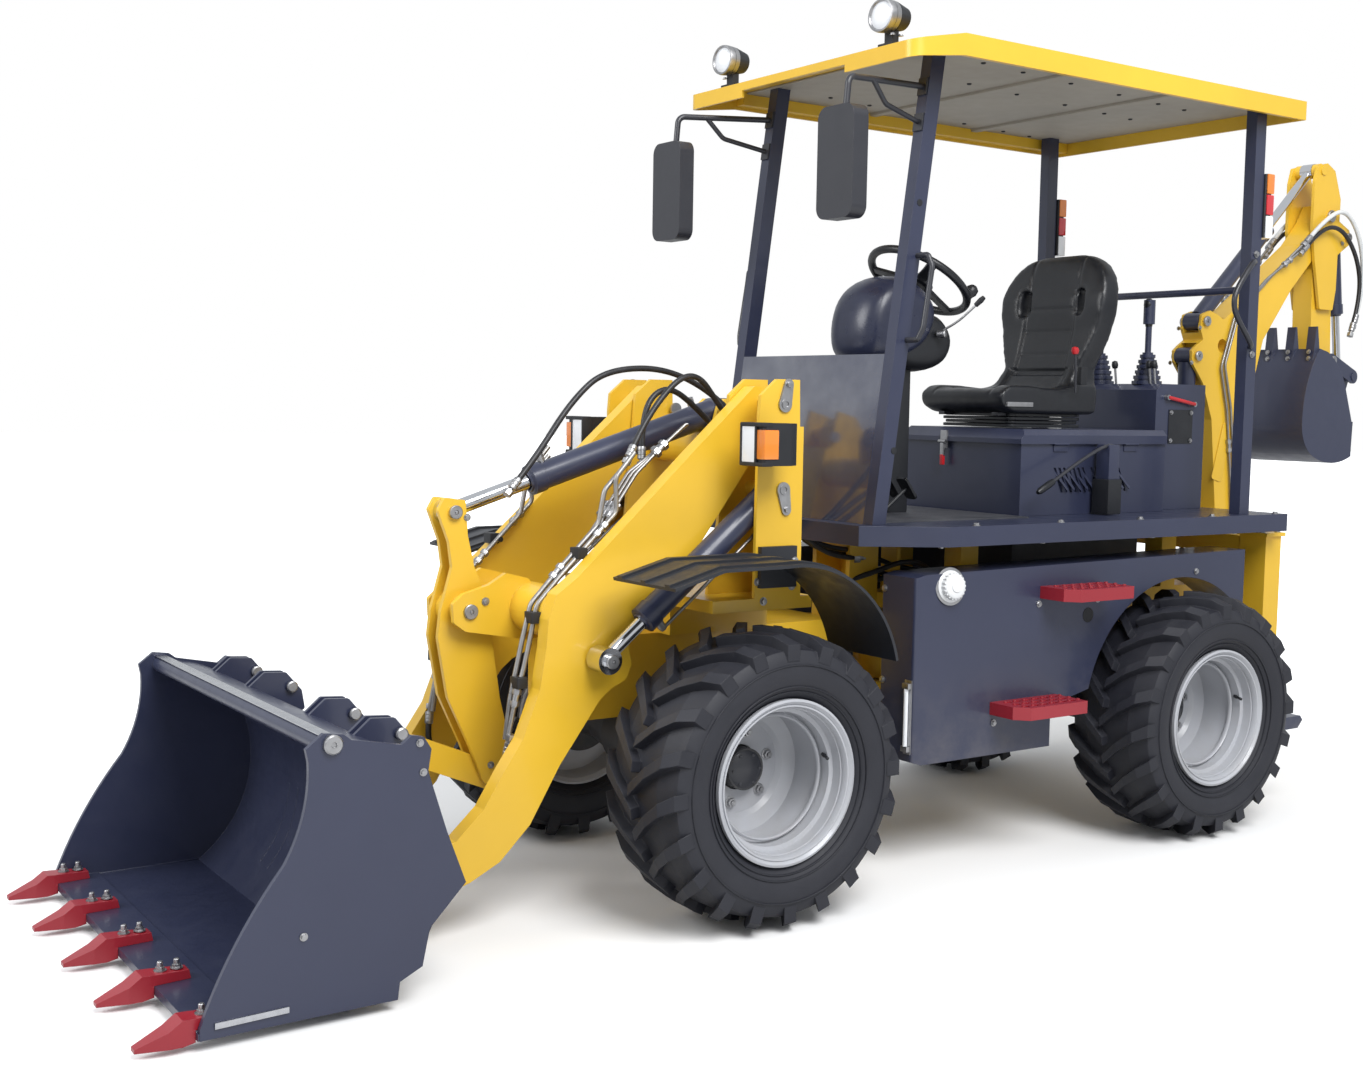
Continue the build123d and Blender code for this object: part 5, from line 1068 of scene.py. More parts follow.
# ---------------------------------------------------------------- lamps, mirrors and roof
class LOADER_OT_lamps(bpy.types.Operator):
    """Add lenses, bezels, rims, shells and bolts to the lamps, and glass to the mirrors"""

    bl_idname = "loader.lamps"
    bl_label = "Lamps and mirrors"

    def execute(self, context):
        low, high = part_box("head_lamps")
        for side, label in LABELS.items():
            self.head_lamp(side, label, high.x, low.z, high.z)
            self.work_lamp(side, label)
            self.tail_lamp(side, label)
            self.mirror(side, label)
        return {"FINISHED"}

    def head_lamp(self, side, label, face, low, high):
        ys = sorted((side * 0.505, side * 0.577))
        mesh = shaped(case, (face - 0.004, ys[0], low + 0.010), (face + 0.007, ys[1], high - 0.010), 0.005)
        piece(f"head_lens_{label}", mesh, "clear", "front_frame")
        amber = bmesh.new()
        ys = sorted((side * 0.583, side * 0.6265))
        case(amber, (face - 0.052, ys[0], low + 0.020), (face + 0.006, ys[1], high - 0.020), 0.008)
        piece(f"turn_lens_{label}", amber, "amber", "front_frame")
        bezel = bmesh.new()
        for z0, z1 in ((low - 0.002, low + 0.011), (high - 0.011, high + 0.002)):
            ys = sorted((side * 0.499, side * 0.624))
            case(bezel, (face - 0.030, ys[0], z0), (face + 0.010, ys[1], z1), 0.004)
        for y0, y1 in ((0.498, 0.506), (0.576, 0.584)):
            ys = sorted((side * y0, side * y1))
            case(bezel, (face - 0.030, ys[0], low), (face + 0.010, ys[1], high), 0.003)
        piece(f"head_lamp_bezel_{label}", bezel, "plastic", "front_frame")
        mesh = bmesh.new()
        ys = sorted((side * 0.4775, side * 0.4855))
        low_corner = Vector((spot(838, 0, 0).x, ys[0], 1.470))
        case(mesh, low_corner, low_corner + Vector((0.055, ys[1] - ys[0], 0.085)), 0.002)
        piece(f"lamp_bracket_{label}", mesh, "plastic", "front_frame")
        places = [(spot(858, side * 485, z), (0, side, 0)) for z in (1488, 1530)]
        bolts(f"lamp_bolts_{label}", places, "front_frame", "zinc", 0.016)

    def work_lamp(self, side, label):
        at = spot(444, side * 460, 2930)
        matrix = Matrix.Translation(at) @ Matrix.Rotation(pi / 2, 4, "Y") @ Matrix.Diagonal((0.87, 1.0, 1.0, 1.0))
        rim = bmesh.new()
        section = [(0.050, 0.002), (0.056, 0.010), (0.062, 0.009), (0.064, 0.000), (0.063, -0.014), (0.058, -0.016),
                   (0.050, -0.004)]
        closed_ring(rim, section, matrix, 48)
        piece(f"work_lamp_rim_{label}", rim, "zinc", "rear_frame", 50)
        mesh = shaped(turned, [(0.054, 0.002), (0.050, 0.005), (0.035, 0.009), (0.018, 0.011), (0, 0.0115)],
                      matrix, 48)
        piece(f"work_lamp_lens_{label}", mesh, "clear", "rear_frame", 60)
        shell = bmesh.new()
        turned(shell, [(0.0625, -0.016), (0.0615, -0.030), (0.056, -0.050), (0.046, -0.068), (0.030, -0.082),
                       (0.012, -0.090), (0, -0.091)], matrix, 40)
        for k in range(8):
            angle = 2 * pi * k / 8
            arm = matrix @ Vector((0.052 * cos(angle), 0.052 * sin(angle), -0.046))
            bolt(shell, arm, (-1, 0, 0), 0.006, washer=False)
        piece(f"work_lamp_shell_{label}", shell, "zinc", "rear_frame", 40)
        foot = spot(400, side * 460, 2874)
        mesh = bmesh.new()
        for shift in (-0.020, 0.020):
            bolt(mesh, foot + Vector((shift * 0.9, side * 0.026, -0.008)), (0.1, 0, 1), 0.012)
        piece(f"work_lamp_bolts_{label}", mesh)

    def tail_lamp(self, side, label):
        for name, colour, z0, z1 in (("turn", "amber", 2503, 2582), ("stop", "ruby", 2420, 2500),
                                     ("clear", "clear", 2328, 2417)):
            ys = sorted((side * 517, side * 594))
            mesh = shaped(case, spot(-1512, ys[0], z0), spot(-1468, ys[1], z1), 0.008)
            piece(f"tail_{name}_{label}", mesh, colour)

    def mirror(self, side, label):
        matrix = axes_at((0, 1, 0), (0, 0, 1), (-1, 0, 0), spot(604.5, side * 504, 2423))
        mesh = shaped(sheet_metal, rounded(0.150, 0.330, 0.025), 0.002, matrix, 0.0006)
        piece(f"mirror_glass_{label}", mesh, "glass")


class LOADER_OT_roof(bpy.types.Operator):
    """Add the roof's lining, plugs and bolts, and the fittings on its posts"""

    bl_idname = "loader.roof"
    bl_label = "Roof lining and post fittings"

    def execute(self, context):
        piece("roof_lining", shaped(case, spot(-1586, -646, 2849), spot(232, 646, 2855), 0.002), "cream")
        ribs = bmesh.new()
        for x in (-1000, -420):
            case(ribs, spot(x - 18, -640, 2838), spot(x + 18, 640, 2850), 0.003)
        piece("roof_bows", ribs, "cream")
        plugs = bmesh.new()
        for x in (-1300, -1120, -860, -560, -280, -60):
            for y in (-430, 150, 430):
                turned(plugs, [(0, -0.001), (0.009, -0.001), (0.009, 0.003), (0.006, 0.005), (0, 0.005)],
                       looking((0, 0, -1), spot(x, y + 0.1 * x, 2849)), 14)
        piece("lining_plugs", plugs, "plastic")
        posts = bmesh.new()
        for side in SIDES:
            for x, z in ((345, 1480), (258, 2330)):
                turned(posts, [(0, -0.001), (0.012, -0.001), (0.012, 0.0015), (0.009, 0.002), (0, 0.0005)],
                       looking((0, side, 0), spot(x, side * 465, z)), 18)
        piece("post_plugs", posts, "plastic")
        handle = [spot(-1425, 580, 2230), spot(-1380, 612, 2232), spot(-1337, 622, 2200), spot(-1262, 622, 2110),
                  spot(-1250, 622, 2060), spot(-1268, 622, 2010), spot(-1350, 622, 1925), spot(-1385, 612, 1898),
                  spot(-1425, 580, 1896)]
        line("grab_handle", handle, 0.022, "soot")
        bolts("handle_bolts", [(spot(-1430, 581, z), (0, 1, 0)) for z in (2262, 1866)], "rear_frame", "zinc", 0.018)
        self.front_handles()
        return {"FINISHED"}

    def front_handles(self):
        """A grab handle on the outer face of each front post."""
        for side, label in LABELS.items():
            points = [spot(262, side * 464, 2150), spot(262, side * 520, 2150), spot(256, side * 536, 2110),
                      spot(290, side * 536, 1900), spot(300, side * 520, 1860), spot(300, side * 464, 1860)]
            line(f"post_handle_{label}", pipe_route(points, 0.02), 0.020, "soot")


# ---------------------------------------------------------------- tanks, steps and platform
class LOADER_OT_sides(bpy.types.Operator):
    """Add the filler cap, level gauge, tread grips and bolts of the side tanks, steps and platform"""

    bl_idname = "loader.sides"
    bl_label = "Tanks, steps and platform"

    def execute(self, context):
        cap = bmesh.new()
        tilt = looking((0.05, 1, 0.10), spot(189, 600, 1016))
        turned(cap, [(0, -0.004), (0.056, -0.004), (0.056, 0.006), (0.050, 0.010), (0.046, 0.010), (0.044, 0.030),
                     (0.040, 0.034), (0.022, 0.036), (0.020, 0.040), (0, 0.041)], tilt, 40)
        for k in range(20):
            angle = 2 * pi * k / 20
            at = tilt @ Vector((0.0445 * cos(angle), 0.0445 * sin(angle), 0.012))
            turned(cap, [(0, 0), (0.0035, 0), (0.0035, 0.017), (0, 0.019)],
                   looking(tilt.to_3x3() @ Vector((0, 0, 1)), at), 8)
        piece("filler_cap", cap, "white", "rear_frame", 40)
        mesh = shaped(turned, [(0, -0.002), (0.066, -0.002), (0.066, 0.003), (0.060, 0.005), (0, 0.005)], tilt, 40)
        piece("filler_flange", mesh, "zinc", "rear_frame", 40)
        gauge = bmesh.new()
        case(gauge, spot(344, 560, 450), spot(362, 592, 470), 0.003)
        case(gauge, spot(344, 560, 668), spot(362, 592, 688), 0.003)
        case(gauge, spot(344, 558, 440), spot(347, 594, 698), 0.0012)
        piece("gauge_frame", gauge)
        mesh = shaped(turned, [(0, 0), (0.008, 0), (0.008, 0.200), (0, 0.200)],
                      looking((0, 0, 1), spot(355, 576, 469)), 18)
        piece("gauge_glass", mesh, "clear", "rear_frame", 40)
        plates = []
        for side in SIDES:
            plates += [(spot(345.5, side * 440, 1002), (1, 0, 0)), (spot(345.5, side * 440, 681), (1, 0, 0))]
            plates += [(spot(x, side * 600.5, z), (0, side, 0)) for x, z in ((-250, 930), (-560, 930), (-40, 515),
                                                                            (-330, 515), (-1120, 1010))]
        bolts("tank_bolts", plates, "rear_frame", "zinc", 0.016)
        # painted shade: black discs on the tanks' sides stand for the shade inside dark round holes
        hole = bmesh.new()
        for side in SIDES:
            turned(hole, [(0, -0.001), (0.028, -0.001), (0.028, 0.0015), (0.024, 0.002), (0.022, 0.0005), (0, 0.0005)],
                   looking((0, side, 0), spot(-512, side * 600, 874)), 28)
        piece("tank_hole_shade_discs", hole, "plastic")
        self.grips()
        self.platform()
        return {"FINISHED"}

    def grips(self):
        grips = bmesh.new()
        for side in SIDES:
            for x0, x1, z in ((-567, -300, 995), (-342, -66, 592)):
                for row in range(3):
                    y = side * (632 + row * 44)
                    count = 7
                    for k in range(count):
                        x = x0 + (x1 - x0) * k / (count - 1)
                        turned(grips, [(0.0075, -0.001), (0.0068, 0.0035), (0.0045, 0.004), (0.0038, -0.001)],
                               looking((0, 0, 1), spot(x, y, z)), 12)
        piece("tread_grips", grips, "red", "rear_frame", 40)
        rims = bmesh.new()
        for side in SIDES:
            for x0, x1, z in ((-575, -255, 995), (-350, -20, 592)):
                weld_bead(rims, [spot(x0 + 10, side * 606, z - 10), spot(x1 - 10, side * 606, z - 10)], 0.004)
        piece("step_welds", rims, "red", "rear_frame", 60)

    def platform(self):
        piece("floor_mat", shaped(case, spot(-380, -410, 1224), spot(330, 410, 1230), 0.002), "mat")
        places = [(spot(x, side * 618, 1225), (0, 0, 1)) for side in SIDES for x in (-1580, -1180, -760, -330, 90)]
        bolts("platform_bolts", places, "rear_frame", "zinc", 0.018)
        low = [(spot(x, side * 560, 1155), (0, 0, -1)) for side in SIDES for x in (-1400, -900, -300, 200)]
        bolts("platform_nuts", low, "rear_frame", "zinc", 0.018)
        for letter, y, z in (("a", 60, 930), ("b", -60, 930), ("c", 95, 985), ("d", -95, 985)):
            points = [spot(-300, y, z), spot(-190, y, z + 10), spot(-90, y * 1.5, z + 60), spot(20, y * 1.6, z + 70),
                      spot(120, y * 1.5, z + 40), spot(210, y, z + 5), spot(300, y, z - 10)]
            across(f"frame_hose_{letter}", points, settings().hoses.hose, "hose")


# ---------------------------------------------------------------- operator's place
# side outlines (x, z) of the steering column's hood and of its lower half
HOOD = [(100, 1790), (190, 1800), (204, 1930), (160, 2060), (50, 2125), (-80, 2110), (-170, 2040), (-180, 1960),
        (-130, 1860), (0, 1790)]
HOOD_BASE = [(176, 1838), (186, 1886), (60, 1930), (-120, 2000), (-220, 1985), (-292, 1900), (-262, 1806),
             (-160, 1762), (0, 1766)]


WHEEL_CENTRE = spot(-165, 0, 2112)
WHEEL_TILT = radians(33)
WHEEL_RIM = (0.200, 0.0155)     # radius of the steering wheel and of its rim's section
DOME_REACH = radians(84)        # how far round its flank a domed form goes


def softened(points):
    """Closed outline with its corners cut twice."""
    for _ in range(2):
        cut = []
        for here, there in zip(points, points[1:] + points[:1]):
            cut += [here.lerp(there, 0.25), here.lerp(there, 0.75)]
        points = cut
    return points


def domed(mesh, outline, half):
    """Adds a cushion form: a side outline that shrinks towards both flanks."""
    points = softened([spot(x, 0, z) for x, z in outline])
    middle = sum(points, Vector()) / len(points)
    rows = []
    for k in range(17):
        angle = DOME_REACH * (k / 8 - 1)
        share = cos(angle) ** 0.36
        y = Vector((0, half * sin(angle) / sin(DOME_REACH), 0))
        rows.append([mesh.verts.new(middle + (point - middle) * share + y) for point in points])
    for low, high in zip(rows, rows[1:]):
        for k in range(len(points)):
            n = (k + 1) % len(points)
            mesh.faces.new((low[k], low[n], high[n], high[k]))
    mesh.faces.new(rows[0])
    mesh.faces.new(rows[-1])


class LOADER_OT_cab(bpy.types.Operator):
    """Add latch, louvre frames, levers, switches and the controls round the operator"""

    bl_idname = "loader.cab"
    bl_label = "Operator's place"

    def execute(self, context):
        self.seat_box()
        self.steering()
        self.console()
        return {"FINISHED"}

    def seat_box(self):
        latch = bmesh.new()
        case(latch, spot(-398, -96, 1470), spot(-388, -60, 1542), 0.003)
        case(latch, spot(-390, -88, 1440), spot(-380, -68, 1500), 0.003)
        turned(latch, [(0, 0), (0.007, 0), (0.007, 0.040), (0, 0.040)], looking((0, 1, 0), spot(-383, -98, 1498)), 14)
        piece("box_latch", latch)
        piece("box_latch_grip", shaped(case, spot(-392, -87, 1404), spot(-378, -69, 1446), 0.005), "red_plastic")
        hinge = bmesh.new()
        for x in (-620, -1020):
            turned(hinge, [(0, -0.04), (0.007, -0.04), (0.007, 0.04), (0, 0.04)],
                   looking((1, 0, 0), spot(x, 336, 1500)), 14)
            case(hinge, spot(x - 38, 330, 1470), spot(x + 38, 334, 1500), 0.001)
        piece("lid_hinges", hinge, "slate")
        frames = bmesh.new()
        for x in (-700, -905):
            for k in range(5):
                at = spot(x - 76 + 38 * k, 331, 1360)
                slat = looking((0, 1, 0.35), at)
                sheet_metal(frames, rounded(0.012, 0.098, 0.005, 3), 0.004,
                            slat @ Matrix.Rotation(radians(35), 4, "Z"), 0.001)
        piece("louvre_slats", frames, "slate")
        piece("brake_lever_box", shaped(case, spot(-866, 345, 1229), spot(-790, 430, 1365), 0.006), "plastic")
        piece("brake_lever_post", shaped(case, spot(-858, 352, 1362), spot(-800, 420, 1500), 0.006), "slate")
        rod = [spot(-835, 400, 1495), spot(-800, 405, 1500), spot(-640, 420, 1440), spot(-500, 432, 1372),
               spot(-452, 436, 1350)]
        line("brake_lever", rod, 0.014, "soot")
        way = rod[-1] - rod[-2]
        mesh = shaped(turned, [(0, 0), (0.012, 0.002), (0.014, 0.030), (0.013, 0.085), (0.008, 0.098), (0, 0.100)],
                      looking(way, rod[-1] - way.normalized() * 0.03), 18)
        piece("brake_lever_grip", mesh, "vinyl", "rear_frame", 40)
        stem = [spot(-760, 268, 1700), spot(-745, 282, 1780), spot(-728, 290, 1850)]
        line("seat_lever", stem, 0.010, "soot")
        mesh = shaped(turned, [(0, -0.004), (0.012, 0.000), (0.016, 0.012), (0.012, 0.024), (0, 0.028)],
                      looking((0.2, 0.1, 1), stem[-1]), 20)
        piece("seat_lever_knob", mesh, "red_plastic", "rear_frame", 50)
        piece("belt_buckle", shaped(case, spot(-800, 268, 1730), spot(-765, 292, 1800), 0.006), "plastic")
        piece("seat_slide_lever", shaped(case, spot(-560, 208, 1640), spot(-420, 240, 1658), 0.004))

    def cowl(self, wheel, axis):
        """Rounded hood over the steering column, its black lower half, and the steering wheel."""
        hood = bmesh.new()
        domed(hood, HOOD, 0.142)
        parts = [piece("steering_hood", hood, "hood", "rear_frame", 60)]
        base = bmesh.new()
        domed(base, HOOD_BASE, 0.120)
        case(base, spot(-90, -55, 1226), spot(10, 55, 1830), 0.012)
        parts.append(piece("steering_base", base, "plastic", "rear_frame", 50))
        ring = bmesh.new()
        axes = looking(axis, wheel)
        radius, thick = WHEEL_RIM
        section = [(radius + thick * cos(k * pi / 8), thick * sin(k * pi / 8)) for k in range(16)]
        closed_ring(ring, section, axes, 96)
        spoke = [(0.030, -0.026), (0.110, -0.014), (0.192, -0.020), (0.192, 0.020), (0.110, 0.014), (0.030, 0.026)]
        for turn in (-90, 30, 150):
            arm = axes @ Matrix.Rotation(radians(turn), 4, "Z")
            sheet_metal(ring, spoke, 0.012, arm @ Matrix.Translation((0, 0, -0.012)), 0.004)
        turned(ring, [(0, -0.110), (0.034, -0.110), (0.034, -0.030), (0.060, -0.022), (0.060, -0.004), (0, -0.004)],
               axes, 40)
        parts.append(piece("steering_wheel", ring, "vinyl", "rear_frame", 50))
        for part in parts:
            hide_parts("steering_column")

    def steering(self):
        wheel = WHEEL_CENTRE
        axis = Vector((-sin(WHEEL_TILT), 0, cos(WHEEL_TILT)))
        self.cowl(wheel, axis)
        mesh = shaped(turned, [(0, -0.03), (0.038, -0.03), (0.046, -0.010), (0.044, 0.006), (0.030, 0.014),
                               (0, 0.016)], looking(axis, wheel - axis * 0.012), 32)
        piece("steering_cap", mesh, "vinyl", "rear_frame", 50)
        knob = bmesh.new()
        side_way = axis.cross(Vector((0, 1, 0))).normalized()
        at = wheel + side_way * 0.14 + Vector((0, 0.14, 0)) + axis * 0.012
        turned(knob, [(0, 0), (0.012, 0), (0.014, 0.012), (0.023, 0.026), (0.024, 0.044), (0.014, 0.056), (0, 0.058)],
               looking(axis, at), 24)
        piece("steering_knob", knob, "vinyl", "rear_frame", 50)
        mesh = shaped(turned, [(0, 0), (0.014, 0), (0.016, 0.03), (0.012, 0.034), (0, 0.035)],
                      looking((-0.5, 1, 0.1), spot(-150, 130, 1905)), 20)
        piece("key_switch", mesh, "zinc", "rear_frame", 40)
        stalk = [spot(-160, 130, 1915), spot(-185, 190, 1945), spot(-205, 240, 1990), spot(-215, 262, 2012)]
        line("turn_stalk", stalk, 0.009, "zinc")
        mesh = shaped(turned, [(0, -0.002), (0.009, 0), (0.011, 0.028), (0.008, 0.044), (0, 0.046)],
                      looking(stalk[-1] - stalk[-2], stalk[-1]), 18)
        piece("turn_stalk_grip", mesh, "plastic", "rear_frame", 50)
        gear = [spot(-60, -120, 1960), spot(-90, -190, 1990), spot(-130, -230, 2040)]
        line("drive_lever", gear, 0.010, "soot")
        mesh = shaped(turned, [(0, -0.012), (0.014, -0.006), (0.018, 0.006), (0.014, 0.018), (0, 0.024)],
                      looking((-0.3, -0.3, 1), gear[-1]), 20)
        piece("drive_lever_ball", mesh, "plastic", "rear_frame", 60)
        gauges = bmesh.new()
        glass = bmesh.new()
        for y in (-70, 0, 70):
            at = looking((-0.75, 0, 0.6), spot(-120, y, 1985))
            closed_ring(gauges, [(0.026, -0.002), (0.031, 0.000), (0.031, 0.006), (0.026, 0.006)], at, 32)
            turned(glass, [(0.0265, 0.001), (0.020, 0.003), (0, 0.0035)], at, 32)
        piece("gauge_rings", gauges, "zinc", "rear_frame", 40)
        piece("gauge_faces", glass, "clear", "rear_frame", 60)
        pedals = bmesh.new()
        for y0, y1 in ((90, 160), (-160, -90), (185, 240)):
            sheet = looking((-0.8, 0, 0.6), spot(60, (y0 + y1) / 2, 1330))
            sheet_metal(pedals, rounded(0.055, 0.095, 0.010), 0.010, sheet, 0.003)
            turned(pedals, [(0, -0.12), (0.007, -0.12), (0.007, 0), (0, 0)], sheet, 12)
        piece("pedals", pedals, "plastic", "rear_frame", 40)

    def console(self):
        for side, label in LABELS.items():
            foot = spot(-1340, side * 130, 1745)
            boot = bmesh.new()
            profile = [(0, -0.004), (0.056, -0.004), (0.056, 0.006)]
            for k in range(8):
                radius = 0.052 - 0.0048 * k
                profile += [(radius, 0.008 + 0.016 * k), (radius - 0.008, 0.018 + 0.016 * k)]
            profile += [(0.009, 0.140), (0, 0.140)]
            turned(boot, profile, looking((0, 0, 1), foot), 32)
            piece(f"lever_boot_{label}", boot, "vinyl", "rear_frame", 60)
            grip = bmesh.new()
            top = spot(-1340, side * 130, 1985)
            turned(grip, [(0, -0.002), (0.014, 0), (0.017, 0.020), (0.0155, 0.045), (0.019, 0.070), (0.022, 0.090),
                          (0.019, 0.108), (0.008, 0.116), (0, 0.117)], looking((0.05, 0, 1), top), 26)
            piece(f"lever_grip_{label}", grip, "vinyl", "rear_frame", 60)
        stubs = bmesh.new()
        knobs = bmesh.new()
        for k, y in enumerate((-210, -185, 0, 185, 210)):
            at = spot(-1300, y, 1742)
            turned(stubs, [(0, 0), (0.005, 0), (0.005, 0.075), (0, 0.075)], looking((0.15, 0, 1), at), 12)
            turned(knobs, [(0, 0.066), (0.011, 0.070), (0.014, 0.084), (0.011, 0.098), (0, 0.102)],
                   looking((0.15, 0, 1), at), 18)
        piece("lever_stems", stubs, "zinc", "rear_frame", 40)
        piece("lever_knobs", knobs, "plastic", "rear_frame", 60)
        piece("console_plate", shaped(case, spot(-1480, 259, 1500), spot(-1330, 264, 1640), 0.002), "plastic")
        places = [(spot(x, 264, z), (0, 1, 0)) for x in (-1468, -1342) for z in (1512, 1628)]
        bolts("console_bolts", places, "rear_frame", "zinc", 0.012)
        bar = [spot(-1308, 276, 1690), spot(-1400, 277, 1676), spot(-1475, 276, 1664)]
        line("console_bar", bar, 0.016, "red_plastic")
        ends = bmesh.new()
        for at in (bar[0], bar[-1]):
            turned(ends, [(0, -0.018), (0.011, -0.018), (0.011, 0.004), (0, 0.004)], looking((0, 1, 0), at), 18)
        piece("console_bar_ends", ends, "zinc", "rear_frame", 40)


# ---------------------------------------------------------------- seat
SEAT_FOOT = 1.612       # height where the foam ends and the bellows begin


class LOADER_OT_seat(bpy.types.Operator):
    """Replace the plain seat by a padded one with bolsters, seams and a bellows below"""

    bl_idname = "loader.seat"
    bl_label = "Padded seat"

    def execute(self, context):
        values = settings().seat
        mesh = copy_of("seat")
        parts = mesh.verts[:] + mesh.edges[:] + mesh.faces[:]
        bmesh.ops.bisect_plane(mesh, geom=parts, clear_inner=True, dist=1e-5, plane_co=(0, 0, SEAT_FOOT),
                               plane_no=(0, 0, 1))
        bmesh.ops.holes_fill(mesh, edges=[edge for edge in mesh.edges if edge.is_boundary])
        seat = linked("seat_cover", mesh_data("seat_cover", mesh))
        remesh = seat.modifiers.new("cells", "REMESH")
        remesh.mode = "VOXEL"
        remesh.voxel_size = values.voxel
        settle(seat)
        self.shape(seat, values)
        smooth = seat.modifiers.new("finer", "SUBSURF")
        smooth.levels = smooth.render_levels = 1
        settle(seat)
        coat(seat, "vinyl")
        seat.data.shade_smooth()
        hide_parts("seat")
        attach(seat, "rear_frame")
        self.bellows()
        return {"FINISHED"}

    def shape(self, seat, values):
        """Rounds the foam, then draws in the middle panels and the seams between them."""
        mesh = bmesh.new()
        mesh.from_mesh(seat.data)
        for _ in range(values.smoothing):
            bmesh.ops.smooth_vert(mesh, verts=mesh.verts, factor=0.5, use_axis_x=True, use_axis_y=True,
                                  use_axis_z=True)
        mesh.normal_update()
        moves = []
        for vertex in mesh.verts:
            place, way = vertex.co, vertex.normal
            amount = 0.0
            across_seat = abs(place.y)
            if way.z > 0.35 and place.z < 1.80:
                inside = ramp(across_seat, 0.170, 0.140) * ramp(place.x, spot(-400, 0, 0).x, spot(-450, 0, 0).x)
                amount -= values.panel_depth * inside
                amount -= 0.005 * groove(across_seat, 0.155, 0.006)
                for step in range(4):
                    x = spot(-500 - 90 * step, 0, 0).x
                    amount -= 0.004 * groove(place.x, x, 0.007) * inside
            if way.x > 0.35 and place.z > 1.78:
                inside = ramp(across_seat, 0.150, 0.115) * ramp(place.z, 2.20, 2.12)
                amount -= values.panel_depth * inside
                amount -= 0.005 * groove(across_seat, 0.132, 0.006)
                for z in (1.86, 1.95, 2.04):
                    amount -= 0.004 * groove(place.z, z, 0.007) * inside
            crease = noise.noise(place * 9.0) * 0.0016 + noise.noise(place * 31.0) * 0.0006
            moves.append(way * (amount + crease))
        for vertex, move in zip(mesh.verts, moves):
            vertex.co += move
        mesh.to_mesh(seat.data)
        mesh.free()

    def bellows(self):
        mesh = bmesh.new()
        for k, z in enumerate((1560, 1574, 1588, 1602)):
            width = 0.400 - 0.014 * (k % 2)
            sheet_metal(mesh, rounded(width, width, 0.03), 0.012, Matrix.Translation(spot(-680, 0, z)), 0.005)
        piece("seat_bellows", mesh, "vinyl", "rear_frame", 60)
        rails = bmesh.new()
        for side in SIDES:
            case(rails, spot(-900, side * 150 - 16, 1604), spot(-440, side * 150 + 16, 1618), 0.002)
        piece("seat_rails", rails, "soot")


def ramp(value, start, end):
    """0 before start, 1 after end, smooth between; start may be over end."""
    share = min(1.0, max(0.0, (value - start) / (end - start)))
    return share * share * (3 - 2 * share)


def groove(value, middle, width):
    """1 in the middle of a sewn channel, 0 outside its width."""
    return max(0.0, 1.0 - ((value - middle) / width) ** 2)


# ---------------------------------------------------------------- backhoe
BOOM_EYE = spot(-1790, 0, 900)      # rod eyes of the boom, stick and digging cylinders
STICK_EYE = spot(-2570, 0, 2755)
DIG_EYE = spot(-2862, 0, 1813)
STABILISER = (-1675, 483)           # x and y of a stabiliser's tube

# joints whose pin ends show: joint, half width of what the pin holds, radius, body
DIGGER_PINS = [
    ("boom_lower", 0.081, 0.028, "swing"),
    ("boom_barrel_pivot", 0.061, 0.022, "boom_body"),
    ("stick_barrel_pivot", 0.061, 0.022, "boom_body"),
    ("stick_open", 0.081, 0.028, "stick_body"),
    ("dig_open", 0.077, 0.022, "stick_body"),
    ("dig_barrel_pivot", 0.081, 0.020, "stick_body"),
    ("rocker_pivot", 0.095, 0.020, "rocker"),
]


